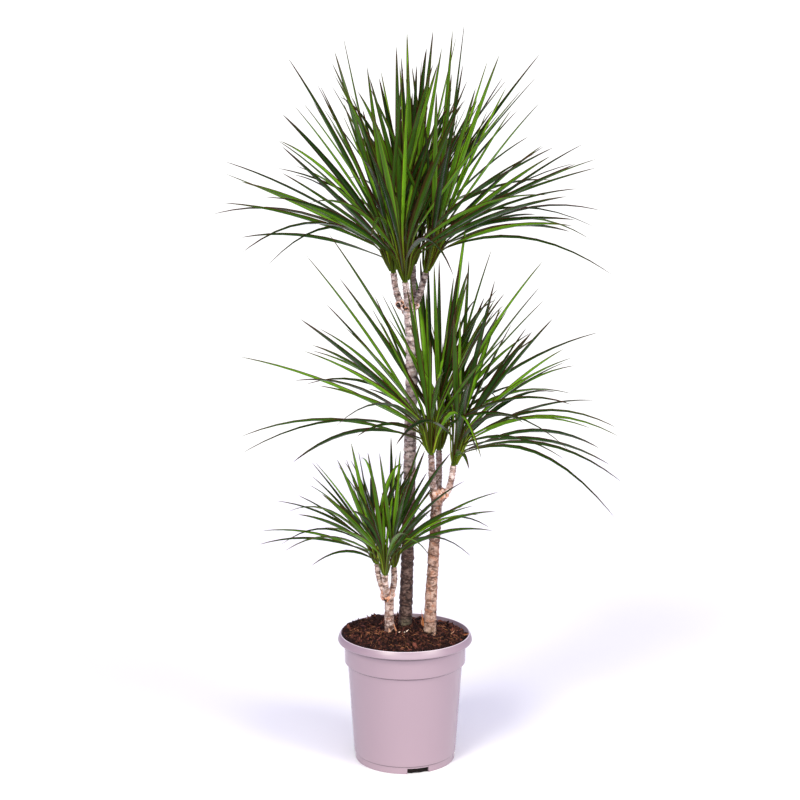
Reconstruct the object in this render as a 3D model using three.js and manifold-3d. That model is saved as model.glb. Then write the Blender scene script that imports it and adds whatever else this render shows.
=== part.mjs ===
// Potted dracaena: three forked canes of different heights in one plastic nursery pot.
// Millimetres, +Z up, +X to the right and -Y towards the viewer. The origin is the middle of the
// pot's underside, on the surface that the pot stands on.

import * as THREE from 'three';
import { mergeVertices } from 'three/addons/utils/BufferGeometryUtils.js';
import Module from 'manifold-3d';

const wasm = await Module();
wasm.setup();

// ---- driving dimensions -------------------------------------------------------------------------

const FIT_GAP = 0.35;             // between pieces that touch
const ROUND_SIDES = 36;           // facets round the pot and the soil
const SLIVER = 0.1;              // edges shorter than this are closed up where leaves cross

const POT = {
  height: 230,
  rimRadius: 120,
  rimBand: 13,                    // height of the rolled rim band
  rimRoll: 4,                     // radius of the band's rounded edges
  flareBottom: 215,               // where the inner wall starts to open out into the rim
  flareRadius: 113.5,
  collarRadius: 108,
  collarBottom: 181,              // where the collar steps in to the body
  bodyRadiusTop: 102.5,
  bodyRadiusFoot: 91.5,
  footHeight: 12,
  footRadius: 89.5,
  wall: 2.6,
  floorTop: 15,
  padRadius: 30,                  // middle of the floor, which touches down
  notchWidth: 39,
  notchHeight: 9.5,
  notchAngles: [-75, 45, 165],    // degrees from +X, even round the foot
  drainRadius: 7,
  drainCircle: 62,
  drainCount: 6,
};

const SOIL = {
  level: 227.5,                   // at the wall
  heap: 8.5,                      // how much higher the middle is
  lean: 2.5,                      // how much higher the left is
  leanAngle: 190,
  dip: 8,                         // how much lower the back right is
  dipAngle: 62,
  clods: 0.9,
  rings: 6,
};

// Each cane is a trunk followed by forked branches. A row is [x, y, z, radius].
const CANES = {
  tall: {
    color: 0x6d6152,
    trunk: [[0, 15, 150, 11.2], [0, 15, 228, 11.4], [2, 15, 290, 10.8], [4, 15, 356, 10.4], [6, 15, 430, 10.2],
      [8, 15, 510, 10], [9, 15, 590, 9.8], [11, 15, 670, 9.8], [11, 15, 752, 9.8], [9, 15, 792, 10.6],
      [7, 15, 808, 12.6], [8, 15, 819, 9]],
    branches: {
      left: [[2, 15, 800, 6], [-10, 13, 822, 6], [-17, 10, 846, 5.6], [-20, 8, 870, 5.6]],
      front: [[7, 12, 804, 6.4], [5, -3, 822, 6.2], [2, -14, 838, 5.8], [0, -20, 856, 5.8]],
      back: [[11, 18, 804, 6], [14, 28, 826, 5.6], [14, 38, 852, 5.4], [13, 43, 880, 5.4]],
      right: [[12, 14, 802, 6.2], [21, 13, 822, 6.2], [29, 12, 846, 5.8], [35, 10, 870, 5.8]],
    },
  },
  middle: {
    color: 0x9a7f62,
    trunk: [[44, -22, 150, 10.6], [44, -22, 230, 10.8], [46, -21, 300, 10], [50, -20, 372, 9.8], [53, -20, 430, 9.8],
      [55, -20, 468, 10.2], [57, -20, 482, 12.2], [58, -20, 494, 8.6]],
    branches: {
      left: [[54, -22, 478, 6], [48, -30, 504, 5.8], [46, -38, 530, 5.6], [45, -42, 560, 5.6]],
      back: [[58, -16, 480, 5.8], [59, 0, 504, 5.6], [60, 12, 530, 5.4], [60, 17, 556, 5.4]],
      right: [[62, -20, 476, 6], [75, -20, 492, 5.8], [81, -20, 512, 5.4], [84, -20, 536, 5.4]],
    },
  },
  short: {
    color: 0xa08d74,
    trunk: [[-27, -14, 150, 9], [-27, -14, 232, 9.2], [-28, -14, 262, 8.2], [-28, -15, 290, 8.4], [-30, -16, 302, 9.8],
      [-31, -17, 312, 7]],
    branches: {
      left: [[-33, -14, 300, 5.4], [-41, -6, 316, 5.2], [-47, -1, 334, 5], [-50, 1, 354, 5]],
      front: [[-31, -20, 301, 5.4], [-33, -32, 315, 5.2], [-35, -40, 330, 5], [-35, -43, 346, 5]],
      right: [[-27, -14, 300, 5.4], [-21, -16, 318, 5.4], [-19, -18, 336, 5.2], [-20, -19, 354, 5]],
    },
  },
};
const CANE_SIDES = 10;
const BRANCH_SIDES = 8;

// Where the plant is seen from. A leaf may lean towards or away from here and keep its outline.
const VIEW_POINT = new THREE.Vector3(-9, -2500, 1017);

// How the leaves that are placed by rule stand, in degrees unless it says otherwise.
const SPIRAL = {
  turn: 137.5,                    // from one leaf to the next round the stem
  start: 50,                      // from one crown to the next
  steepest: 74,
  sweep: 66,                      // how much lower the oldest leaves are
  waver: 10,
  crowdedRise: 66,                // least rise of a leaf that heads for a neighbouring crown
  arch: 6,                        // millimetres, of the youngest
  sag: 46,                        // millimetres more, of the oldest
  shortest: 0.86,                 // share of full length
  sideLoss: 0.2,                  // share of length missing in leaves that lie to either side
};
const SIDE_STEPS = [0, 9, -9, 18, -18, 27, -27, 38, -38, 50, -50];

// How leaves seen in outline lean towards the viewer or away, as shares of the depth that their full
// length leaves: the leaf's own share, then the ways past its neighbours.
const DEPTH_SHARES = [-1, 0.4, -0.75, 0.15, -0.9, 0.55, -0.3, 1, -0.4, 0.75, -0.15, 0.9, -0.55, 0.3];
const DEPTH_STEPS = [1, 0.8, -1, 1.2, 0.55, -0.8, 0.3, -0.5, 0, 1.4, -1.3, 1.7, -1.6];
const DEPTH_LEAST = 30;
const DEPTH_MOST = 300;

const BLADE = {
  width: 14,
  keel: 0.125,                    // depth under the leaf, as a share of its width
  rootWidth: 0.5,                 // share of the full width
  bowedStations: [0, 0.3, 0.6, 0.85],   // along the leaf, before the tip
  straightStations: [0, 0.38, 0.76],
  bowed: 9,                       // a leaf with more arch than this needs the closer stations
  clearance: 1.6,                 // kept free round a leaf where other pieces grow
  crowded: 0.25,                  // share of a leaf, from its root, that may press on its neighbours
};

// Leaves seen in outline. A row is [reach, rise, arch]: how far the tip stands to the right of the
// crown's foot and above it, and how far the middle of the leaf is bowed above a straight line.
// `leaf` is the length of a full-grown leaf, and what it doesn't show in outline is its depth.
const CROWNS = {
  tall: {
    leaf: 425, core: 92, coreRadius: 10, fill: 21,
    left: [[-180, 365, 16], [-170, 285, 12], [-190, 270, 12], [-195, 225, 25], [-290, 190, 14], [-290, 170, 6],
      [-295, 120, 16], [-265, 60, 22], [-220, 10, 50], [-85, 400, 0], [-100, 375, 5], [-120, 280, 18],
      [-45, 350, 4]],
    front: [[-210, 230, 5], [-210, 185, 6], [-280, 170, 16], [-180, 215, 8], [-50, 415, 4], [-40, 415, 0],
      [5, 375, 0], [-40, 175, 40], [-30, 120, 50], [290, 200, 10], [275, 145, 18], [190, 290, 8],
      [105, 340, 6], [-15, 395, 0]],
    back: [[-140, 350, 5], [-140, 310, 8], [-75, 325, 4], [-55, 335, 4], [-20, 360, 0], [-10, 400, 4],
      [35, 405, 0], [15, 355, 0], [50, 375, 0], [75, 395, 5], [220, 365, 12], [245, 205, 10], [320, 170, 12],
      [285, 80, 20]],
    right: [[45, 410, 4], [65, 425, 6], [85, 315, 6], [105, 360, 10], [125, 370, 8], [195, 290, 14],
      [215, 200, 10], [270, 220, 14], [295, 195, 16], [190, 100, 18], [255, 80, 22], [250, 70, 26],
      [325, -5, 45]],
  },
  middle: {
    leaf: 385, core: 84, coreRadius: 9.5, fill: 18,
    left: [[-215, 345, 14], [-180, 260, 8], [-225, 235, 10], [-205, 190, 22], [-220, 180, 16], [-330, 170, 18],
      [-195, 120, 14], [-330, 30, 38], [-330, 0, 42], [-240, -15, 40], [-130, 30, 24], [-45, 375, 0],
      [240, 5, 50], [80, 0, 60]],
    back: [[-175, 305, 10], [-195, 385, 16], [-125, 110, 12], [-340, 25, 32], [-10, 330, 0], [30, 310, 8],
      [50, 430, 10], [90, 355, 12], [180, 335, 16], [175, 290, 12], [260, 255, 18], [280, 210, 24],
      [35, 330, 4], [155, 120, 18]],
    right: [[70, 325, 8], [100, 250, 10], [135, 235, 10], [190, 205, 16], [205, 190, 20], [245, 115, 24],
      [290, 50, 45], [255, 30, 40], [240, 65, 30], [295, -30, 45], [285, -95, 60], [275, 0, 34], [195, 10, 28],
      [25, 360, 5]],
  },
  short: {
    leaf: 250, core: 58, coreRadius: 8, fill: 12,
    left: [[-70, 190, 8], [-115, 185, 6], [-45, 220, 0], [-115, 160, 10], [-180, 115, 16], [-140, 125, 10],
      [-140, 90, 12], [-205, 60, 18], [-170, 35, 34], [-210, 35, 20]],
    front: [[-30, 220, 6], [-40, 185, 5], [-110, 145, 8], [-130, 15, 26], [-105, 85, 14], [-60, 115, 20],
      [20, 215, 4], [85, 120, 10], [80, 30, 34]],
    right: [[-25, 205, 4], [55, 210, 8], [100, 205, 12], [50, 225, 22], [125, 155, 14], [185, 135, 16],
      [180, 100, 18], [175, 65, 20], [140, 110, 12], [15, 175, 4]],
  },
};

const ROOT_DEPTH = 0.6;           // how far out from the core's axis a leaf is rooted, as a share
const FIRST_SEED = 11;

const LEAF_COLORS = { tall: 0x3f6b26, middle: 0x446f28, short: 0x4c7a2b };

// ---- small tools --------------------------------------------------------------------------------

const UP = new THREE.Vector3(0, 0, 1);
const vec = (x, y, z) => new THREE.Vector3(x, y, z);
const radians = THREE.MathUtils.degToRad;

// A repeatable draw between 0 and 1.
function makeDraw(seed) {
  let state = seed;
  return () => {
    state = (state * 1664525 + 1013904223) % 4294967296;
    return state / 4294967296;
  };
}

function toSolid(geometry) {
  const bare = geometry.clone();
  bare.deleteAttribute('normal');
  bare.deleteAttribute('uv');
  const merged = mergeVertices(bare, 1e-4);
  const mesh = new wasm.Mesh({
    numProp: 3,
    vertProperties: new Float32Array(merged.attributes.position.array),
    triVerts: new Uint32Array(merged.index.array),
  });
  return new wasm.Manifold(mesh);
}

function toGeometry(solid) {
  const mesh = solid.getMesh();
  const geometry = new THREE.BufferGeometry();
  geometry.setAttribute('position', new THREE.BufferAttribute(new Float32Array(mesh.vertProperties), 3));
  geometry.setIndex(new THREE.BufferAttribute(new Uint32Array(mesh.triVerts), 1));
  return geometry;
}

// One body without slivers: hollows that its leaves seal are filled, and loose scraps are dropped.
function oneBody(solid) {
  const bodies = solid.simplify(SLIVER).decompose();
  return bodies.reduce((largest, body) => (body.volume() > largest.volume() ? body : largest));
}

// A closed solid from rings of the same number of points, each ring turning the same way. The ends
// are flat, or run to a point where `tip` is given.
function loft(rings, tip = null) {
  const sides = rings[0].length;
  const points = rings.flat();
  const triangles = [];
  for (let i = 0; i + 1 < rings.length; i += 1) {
    for (let j = 0; j < sides; j += 1) {
      const a = i * sides + j;
      const b = i * sides + ((j + 1) % sides);
      triangles.push(a, b, b + sides, a, b + sides, a + sides);
    }
  }
  const last = (rings.length - 1) * sides;
  for (let j = 1; j + 1 < sides; j += 1) {
    triangles.push(0, j + 1, j);
    if (!tip) triangles.push(last, last + j, last + j + 1);
  }
  if (tip) {
    points.push(tip);
    for (let j = 0; j < sides; j += 1) triangles.push(last + j, last + ((j + 1) % sides), points.length - 1);
  }
  const geometry = new THREE.BufferGeometry();
  geometry.setAttribute('position', new THREE.Float32BufferAttribute(points.flatMap((p) => p.toArray()), 3));
  geometry.setIndex(triangles);
  return geometry;
}

// A ring of points round `center`, square to `direction`.
function ringAt(center, direction, radius, sides) {
  const across = new THREE.Vector3().crossVectors(vec(0, 1, 0), direction).normalize();
  const along = new THREE.Vector3().crossVectors(direction, across);
  return Array.from({ length: sides }, (_, j) => {
    const angle = (2 * Math.PI * j) / sides;
    return center.clone()
      .addScaledVector(across, radius * Math.cos(angle))
      .addScaledVector(along, radius * Math.sin(angle));
  });
}

// A round stem through rows of [x, y, z, radius].
function stem(rows, sides) {
  const centers = rows.map(([x, y, z]) => vec(x, y, z));
  const rings = centers.map((center, i) => {
    const before = centers[Math.max(i - 1, 0)];
    const after = centers[Math.min(i + 1, centers.length - 1)];
    const direction = after.clone().sub(before).normalize();
    return ringAt(center, direction, rows[i][3], sides);
  });
  return toSolid(loft(rings));
}

// ---- pot and soil -------------------------------------------------------------------------------

// The pot's inner wall radius at a height: the body tapers, the collar is straight, the rim flares.
function innerRadius(z) {
  const { lerp, mapLinear } = THREE.MathUtils;
  const collar = POT.collarRadius - POT.wall;
  if (z > POT.flareBottom) return mapLinear(z, POT.flareBottom, POT.height - 1.2, collar, POT.flareRadius);
  if (z > POT.collarBottom) return collar;
  const rise = (z - POT.footHeight) / (POT.collarBottom - POT.footHeight);
  return lerp(POT.bodyRadiusFoot, POT.bodyRadiusTop, rise) - POT.wall;
}

function potProfile() {
  const p = POT;
  const bandBottom = p.height - p.rimBand;
  const profile = new THREE.Path();
  profile.moveTo(0, 0);
  profile.lineTo(p.padRadius, 0);
  profile.lineTo(p.padRadius + 6, p.footHeight - 1);
  profile.lineTo(p.footRadius - 5, p.footHeight - 1);
  profile.lineTo(p.footRadius - 4, 0);
  profile.lineTo(p.footRadius, 0);
  profile.lineTo(p.footRadius, p.footHeight);
  profile.lineTo(p.bodyRadiusFoot, p.footHeight + 1.5);
  profile.lineTo(p.bodyRadiusTop, p.collarBottom - 2);
  profile.lineTo(p.collarRadius, p.collarBottom + 2);
  profile.lineTo(p.collarRadius + 0.6, bandBottom + 1);
  profile.lineTo(p.rimRadius - 2, bandBottom);
  profile.lineTo(p.rimRadius, bandBottom + 2.5);
  profile.lineTo(p.rimRadius - 0.6, p.height - p.rimRoll);
  profile.lineTo(p.rimRadius - 3, p.height);
  profile.lineTo(p.flareRadius + 1, p.height);
  profile.lineTo(p.flareRadius, p.height - 1.2);
  profile.lineTo(innerRadius(p.flareBottom), p.flareBottom);
  profile.lineTo(innerRadius(p.flareBottom), p.collarBottom + 1);
  profile.lineTo(innerRadius(p.collarBottom), p.collarBottom - 3);
  profile.lineTo(innerRadius(p.floorTop), p.floorTop);
  profile.lineTo(0, p.floorTop);
  return profile.getPoints(1);
}

// A lathe turned so that its axis is +Z and its first facet edge is on +X.
function turned(profile, sides) {
  const geometry = new THREE.LatheGeometry(profile, sides);
  geometry.rotateX(Math.PI / 2);
  return toSolid(geometry);
}

function standingCylinder(x, y, bottom, top, radius, sides) {
  const geometry = new THREE.CylinderGeometry(radius, radius, top - bottom, sides);
  geometry.rotateX(Math.PI / 2);
  geometry.translate(x, y, (bottom + top) / 2);
  return toSolid(geometry);
}

function makePot() {
  let solid = turned(potProfile(), ROUND_SIDES);
  for (const angle of POT.notchAngles) {
    const cutter = new THREE.BoxGeometry(30, POT.notchWidth, 2 * POT.notchHeight);
    cutter.translate(POT.footRadius, 0, 0);
    cutter.rotateZ(radians(angle));
    solid = solid.subtract(toSolid(cutter));
  }
  for (let i = 0; i < POT.drainCount; i += 1) {
    const angle = (2 * Math.PI * i) / POT.drainCount;
    const x = POT.drainCircle * Math.cos(angle);
    const y = POT.drainCircle * Math.sin(angle);
    solid = solid.subtract(standingCylinder(x, y, -1, POT.floorTop + 1, POT.drainRadius, 10));
  }
  return solid;
}

// Height of the soil's surface: heaped in the middle and at the left, lower at the back right where
// the pot's wall shows, and clodded all over.
function soilHeight(x, y) {
  const share = Math.hypot(x, y) / POT.flareRadius;
  const angle = Math.atan2(y, x);
  const heap = SOIL.heap * (1 - share ** 2);
  const lean = SOIL.lean * share ** 2 * Math.cos(angle - radians(SOIL.leanAngle));
  const dip = SOIL.dip * share ** 3 * Math.max(0, Math.cos(angle - radians(SOIL.dipAngle))) ** 3;
  const clods = Math.sin(x * 0.19 + 1.3) * Math.sin(y * 0.23 + 0.4) + 0.6 * Math.sin(x * 0.41 - y * 0.31);
  return SOIL.level + heap + lean - dip + SOIL.clods * clods;
}

// The soil fills the pot to its wall, so its edge lies further out where it is heaped higher.
function makeSoil() {
  const angles = Array.from({ length: ROUND_SIDES }, (_, j) => (2 * Math.PI * j) / ROUND_SIDES);
  const pointAt = (angle, radius, z) => vec(radius * Math.cos(angle), radius * Math.sin(angle), z);
  const wallLevels = [POT.floorTop, (POT.floorTop + POT.collarBottom) / 2, POT.collarBottom - 5,
    POT.collarBottom + 2, POT.flareBottom];
  const rings = wallLevels.map((z) => angles.map(
    (angle) => pointAt(angle, Math.min(innerRadius(z), innerRadius(z - 5)) - FIT_GAP, z + FIT_GAP)));
  const edge = angles.map((angle) => {
    const guess = pointAt(angle, POT.flareRadius, 0);
    const height = soilHeight(guess.x, guess.y);
    return pointAt(angle, innerRadius(height) - 2 * FIT_GAP, height);
  });
  rings.push(edge);
  for (let i = 1; i < SOIL.rings; i += 1) {
    const share = 1 - i / SOIL.rings;
    rings.push(edge.map(({ x, y }) => vec(x * share, y * share, soilHeight(x * share, y * share))));
  }
  let solid = toSolid(loft(rings, vec(0, 0, soilHeight(0, 0))));
  for (const cane of Object.values(CANES)) {
    const [x, y, z, radius] = cane.trunk[0];
    const widest = Math.max(radius, cane.trunk[1][3]) / Math.cos(Math.PI / CANE_SIDES);
    solid = solid.subtract(standingCylinder(x, y, z - FIT_GAP, 2 * POT.height, widest + FIT_GAP, CANE_SIDES));
  }
  return solid;
}

// ---- canes --------------------------------------------------------------------------------------

function makeCane(cane) {
  const branches = Object.values(cane.branches).map((rows) => stem(rows, BRANCH_SIDES));
  return branches.reduce((whole, branch) => whole.add(branch), stem(cane.trunk, CANE_SIDES));
}

// The end of a branch: where it stops and which way it points.
function branchEnd(rows) {
  const [before, end] = rows.slice(-2).map(([x, y, z]) => vec(x, y, z));
  return { point: end, direction: end.clone().sub(before).normalize(), radius: rows.at(-1)[3] };
}

// ---- leaves -------------------------------------------------------------------------------------

// The point at depth y on the line of sight to `point`.
function slideAlongSight(point, y) {
  const share = (y - VIEW_POINT.y) / (point.y - VIEW_POINT.y);
  return VIEW_POINT.clone().lerp(point, share);
}

// A leaf's centreline is a parabola from root to tip, bowed up by `arch` in the middle.
function leafPoint(leaf, t) {
  const bow = 4 * leaf.arch * t * (1 - t);
  return leaf.root.clone().lerp(leaf.tip, t).addScaledVector(UP, bow);
}

// The direction across a leaf: level, then rolled about the leaf so that its face turns.
function leafAcross(leaf) {
  const along = leaf.tip.clone().sub(leaf.root).normalize();
  const level = new THREE.Vector3().crossVectors(UP, along).normalize();
  return level.applyAxisAngle(along, leaf.roll);
}

// Share of the full width along a leaf: narrow at the root, widest past the middle, then pointed.
function widthShare(t) {
  const swell = BLADE.rootWidth + (1 - BLADE.rootWidth) * Math.sin(Math.min(t / 0.55, 1) * Math.PI / 2);
  return swell * Math.sqrt(Math.max(0, 1 - ((t - 0.35) / 0.65) ** 2 * (t > 0.35 ? 1 : 0)));
}

// The blade: two margins and a keel, with every cross line parallel so that its face stays flat.
function bladeSolid(leaf, clearance = 0, from = 0) {
  const across = leafAcross(leaf);
  const places = leaf.arch > BLADE.bowed ? BLADE.bowedStations : BLADE.straightStations;
  const stations = [from, ...places.filter((t) => t > from)];
  const rings = stations.map((t) => {
    const center = leafPoint(leaf, t);
    const along = leafPoint(leaf, t + 0.02).sub(leafPoint(leaf, t - 0.02)).normalize();
    const under = new THREE.Vector3().crossVectors(across, along).normalize();
    const half = (leaf.width * widthShare(t)) / 2;
    const depth = 2 * half * BLADE.keel + clearance;
    return [
      center.clone().addScaledVector(across, half + clearance).addScaledVector(under, -clearance),
      center.clone().addScaledVector(across, -half - clearance).addScaledVector(under, -clearance),
      center.clone().addScaledVector(under, depth + clearance),
    ];
  });
  return toSolid(loft(rings, leaf.tip));
}

// Each way in which a leaf seen in outline may lean, the best first.
function outlineChoices(row, index, crown, head) {
  const [reach, rise, arch] = row;
  const flatTip = crown.foot.clone().add(vec(reach, 0, rise));
  const shown = Math.hypot(reach, rise);
  const hidden = Math.sqrt(Math.max(head.leaf ** 2 - shown ** 2, DEPTH_LEAST ** 2));
  const depth = DEPTH_SHARES[index] * Math.min(hidden, DEPTH_MOST);
  return DEPTH_STEPS.map((step) => {
    const tip = slideAlongSight(flatTip, crown.foot.y + step * depth);
    return finishLeaf(tip, arch, index, crown, head, true);
  });
}

// The leaves between them follow the stem's spiral, steep at the top and low at the bottom.
function fillChoices(index, crown, head, draw) {
  const age = (index + 0.5) / head.fill;
  const azimuth = SPIRAL.turn * index + crown.start;
  const rise = radians(SPIRAL.steepest - SPIRAL.sweep * age + SPIRAL.waver * (draw() - 0.5));
  const fullLength = head.leaf * (SPIRAL.shortest + (1 - SPIRAL.shortest) * draw());
  const arch = SPIRAL.arch + SPIRAL.sag * age * age;
  return SIDE_STEPS.map((step) => {
    const angle = radians(azimuth + step);
    const level = vec(Math.cos(angle), Math.sin(angle), 0);
    const length = fullLength * (1 - SPIRAL.sideLoss * Math.abs(level.x));
    const crowded = level.dot(crown.inward) > 0.1;
    const lift = crowded ? Math.max(rise, radians(SPIRAL.crowdedRise)) : rise;
    const tip = crown.foot.clone().addScaledVector(level, length * Math.cos(lift));
    tip.z += length * Math.sin(lift);
    return finishLeaf(tip, arch, index, crown, head, false);
  });
}

// Steep leaves grow near the top of the core and low ones near its foot.
function finishLeaf(tip, arch, index, crown, head, faced) {
  const toTip = tip.clone().sub(crown.foot);
  const steep = Math.atan2(toTip.z + 2 * arch, Math.hypot(toTip.x, toTip.y)) / (Math.PI / 2);
  const height = head.core * THREE.MathUtils.clamp(0.16 + 0.62 * steep + 0.03 * ((index * 5) % 7), 0.12, 0.94);
  const outward = vec(toTip.x, toTip.y, 0).normalize();
  const root = crown.foot.clone().addScaledVector(crown.direction, height);
  root.addScaledVector(outward, ROOT_DEPTH * head.coreRadius * coreGirth(height / head.core));
  const roll = faced ? radians(28 + 9 * (index % 4)) * Math.sign(-toTip.x || 1) : radians(24 * Math.sin(index * 2.4));
  const width = BLADE.width * (0.82 + 0.06 * ((index * 3) % 4)) * (head.leaf > 300 ? 1 : 0.86);
  return { root, tip, arch, roll, width };
}

// The core's girth along its length: as slim as its branch at the foot, fuller where most leaves
// clasp it, and narrow at its growing point.
function coreGirth(share) {
  const swell = 0.62 + 0.38 * Math.sin((Math.min(share / 0.3, 1) * Math.PI) / 2);
  return swell - 0.62 * Math.max(0, (share - 0.3) / 0.7) ** 2;
}

function coreSolid(crown, head) {
  const rings = [0, 0.15, 0.35, 0.7, 1].map((share) => ringAt(
    crown.foot.clone().addScaledVector(crown.direction, share * head.core),
    crown.direction, head.coreRadius * coreGirth(share), 8));
  return toSolid(loft(rings));
}

function boxesMeet(a, b) {
  const p = a.boundingBox();
  const q = b.boundingBox();
  return [0, 1, 2].every((k) => p.min[k] < q.max[k] && q.min[k] < p.max[k]);
}

function meets(solid, others) {
  return others.some((other) => boxesMeet(solid, other) && !solid.intersect(other).isEmpty());
}

// The first choice that clears every other piece and, where it can, the leaves of its own crown.
function clearChoice(choices, others, own) {
  const free = choices.filter((leaf) => !meets(bladeSolid(leaf, BLADE.clearance), others));
  const apart = free.find((leaf) => !meets(bladeSolid(leaf, 0, BLADE.crowded), [own]));
  return apart ?? free[0] ?? null;
}

// All the crowns' feet, each with the direction to its neighbours on the same cane.
function crownFeet() {
  const crowns = [];
  for (const [name, cane] of Object.entries(CANES)) {
    const ends = Object.entries(cane.branches).map(([side, rows]) => ({ side, ...branchEnd(rows) }));
    const middle = ends.reduce((sum, end) => sum.add(end.point), vec(0, 0, 0)).divideScalar(ends.length);
    for (const { side, point, direction } of ends) {
      const inward = middle.clone().sub(point).setZ(0).normalize();
      const foot = point.clone().addScaledVector(direction, FIT_GAP);
      crowns.push({ name: `crown_${name}_${side}`, head: name, side, foot, direction, inward });
    }
  }
  return crowns;
}

// Grow the crowns leaf by leaf in turn, so that each finds its way past the others.
function growCrowns(stems) {
  const crowns = crownFeet();
  crowns.forEach((crown, i) => {
    crown.start = SPIRAL.start * i;
    crown.solid = coreSolid(crown, CROWNS[crown.head]);
  });
  const tryLeaf = (crown, choices) => {
    const others = [...stems, ...crowns.filter((c) => c !== crown).map((c) => c.solid)];
    const leaf = clearChoice(choices, others, crown.solid);
    if (leaf) crown.solid = crown.solid.add(bladeSolid(leaf));
  };
  for (let index = 0; index < DEPTH_SHARES.length; index += 1) {
    for (const crown of crowns) {
      const head = CROWNS[crown.head];
      const row = head[crown.side][index];
      if (row) tryLeaf(crown, outlineChoices(row, index, crown, head));
    }
  }
  crowns.forEach((crown, i) => {
    const head = CROWNS[crown.head];
    const draw = makeDraw(FIRST_SEED + i);
    for (let index = 0; index < head.fill; index += 1) tryLeaf(crown, fillChoices(index, crown, head, draw));
  });
  return crowns;
}

// ---- assembly -----------------------------------------------------------------------------------

function piece(name, solid, color, roughness) {
  const material = new THREE.MeshStandardMaterial({ color, roughness, metalness: 0 });
  const mesh = new THREE.Mesh(toGeometry(solid), material);
  mesh.name = name;
  return mesh;
}

const plant = new THREE.Group();
plant.add(piece('pot', makePot(), 0xc9a9b8, 0.4));
plant.add(piece('soil', makeSoil(), 0x33231b, 0.95));

const stems = [];
for (const [name, cane] of Object.entries(CANES)) {
  const solid = makeCane(cane);
  stems.push(solid);
  plant.add(piece(`cane_${name}`, solid, cane.color, 0.8));
}
for (const crown of growCrowns(stems)) {
  plant.add(piece(crown.name, oneBody(crown.solid), LEAF_COLORS[crown.head], 0.5));
}

export default plant;
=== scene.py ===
# %% [markdown]
# # A potted dracaena, dressed round its frame
# The frame holds the plant's real sizes: a nursery pot, its soil, three forked canes and ten crowns
# of leaves. Its solids are plain and faceted. This lesson keeps their places and forms and makes the
# surfaces that the eye meets: moulded plastic, loose bark, scarred wood and channelled leaves. Each
# surface is worked out as whole arrays of points, because a plant is hundreds of small shapes that
# follow a few rules.

# %% Load the frame and measure it
import itertools
import math

import bpy
import numpy as np
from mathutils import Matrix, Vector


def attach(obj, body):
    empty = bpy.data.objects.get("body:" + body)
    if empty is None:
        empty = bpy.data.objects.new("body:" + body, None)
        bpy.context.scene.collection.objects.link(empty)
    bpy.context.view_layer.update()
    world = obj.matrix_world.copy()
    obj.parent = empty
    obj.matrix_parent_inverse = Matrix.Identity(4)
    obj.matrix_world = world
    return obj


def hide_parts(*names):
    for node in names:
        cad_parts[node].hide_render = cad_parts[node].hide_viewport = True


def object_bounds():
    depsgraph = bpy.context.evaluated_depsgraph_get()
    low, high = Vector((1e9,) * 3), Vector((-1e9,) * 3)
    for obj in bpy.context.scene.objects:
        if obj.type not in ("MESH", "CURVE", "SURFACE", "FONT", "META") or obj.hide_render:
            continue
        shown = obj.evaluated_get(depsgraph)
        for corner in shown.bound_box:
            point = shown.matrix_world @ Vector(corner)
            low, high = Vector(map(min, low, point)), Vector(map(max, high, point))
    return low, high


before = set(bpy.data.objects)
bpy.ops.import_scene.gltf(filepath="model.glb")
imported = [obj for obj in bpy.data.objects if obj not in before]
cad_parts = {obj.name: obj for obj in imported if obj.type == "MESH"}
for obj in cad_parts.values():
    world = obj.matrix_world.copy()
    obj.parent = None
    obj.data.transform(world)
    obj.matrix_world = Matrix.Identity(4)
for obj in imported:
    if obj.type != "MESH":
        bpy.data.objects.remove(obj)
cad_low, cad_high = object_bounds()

MM = 0.001
UP = np.array([0.0, 0.0, 1.0])
FIT_GAP = 0.35 * MM               # between pieces that touch
print("frame box", [round(v, 3) for v in cad_low], [round(v, 3) for v in cad_high])

# %% [markdown]
# ## The view
# The plant was photographed from 2.5 m away and about 1 m up, with the camera tipped down. The same
# camera comes first, because every later choice is judged through it. The focal length is written in
# pixels of the 800-pixel picture, as it was fitted to the pot's ellipses, and turned into the lens of
# a 36 mm sensor.

# %% Camera
CAMERA_PLACE = (-0.009, -2.5, 1.0175)
CAMERA_TIPPED_DOWN = math.radians(8.385)
FOCAL_PIXELS = 1447
IMAGE_PIXELS = 800
SENSOR_WIDTH = 36

camera_data = bpy.data.cameras.new("camera")
camera_data.sensor_width = SENSOR_WIDTH
camera_data.lens = SENSOR_WIDTH * FOCAL_PIXELS / IMAGE_PIXELS
camera = bpy.data.objects.new("camera", camera_data)
camera.location = CAMERA_PLACE
camera.rotation_euler = (math.radians(90) - CAMERA_TIPPED_DOWN, 0, 0)
bpy.context.scene.collection.objects.link(camera)
bpy.context.scene.camera = camera
bpy.context.scene.view_settings.view_transform = "Standard"
print("lens", round(camera_data.lens, 2), "mm")

# %% [markdown]
# ## Node networks
# The room's light and every finish is a small network of nodes. These helpers keep each network
# short enough to read: one adds a node with its values and links, and the others wrap the few nodes
# that nearly all of them need.

# %% Node helpers
def add_node(tree, kind, inputs=None, **settings):
    """A node of one kind. An input is either a plain value or the socket that feeds it."""
    node = tree.nodes.new(kind)
    for key, value in settings.items():
        setattr(node, key, value)
    for key, value in (inputs or {}).items():
        if isinstance(value, bpy.types.NodeSocket):
            tree.links.new(value, node.inputs[key])
        else:
            node.inputs[key].default_value = value
    return node


def calc(tree, operation, first, second=0.0, clamp=False):
    """One sum on two numbers or sockets, such as ADD or DIVIDE."""
    return add_node(tree, "ShaderNodeMath", {0: first, 1: second}, operation=operation,
                    use_clamp=clamp).outputs[0]


def times(tree, first, second):
    """The product of two numbers or sockets."""
    return calc(tree, "MULTIPLY", first, second)


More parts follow.
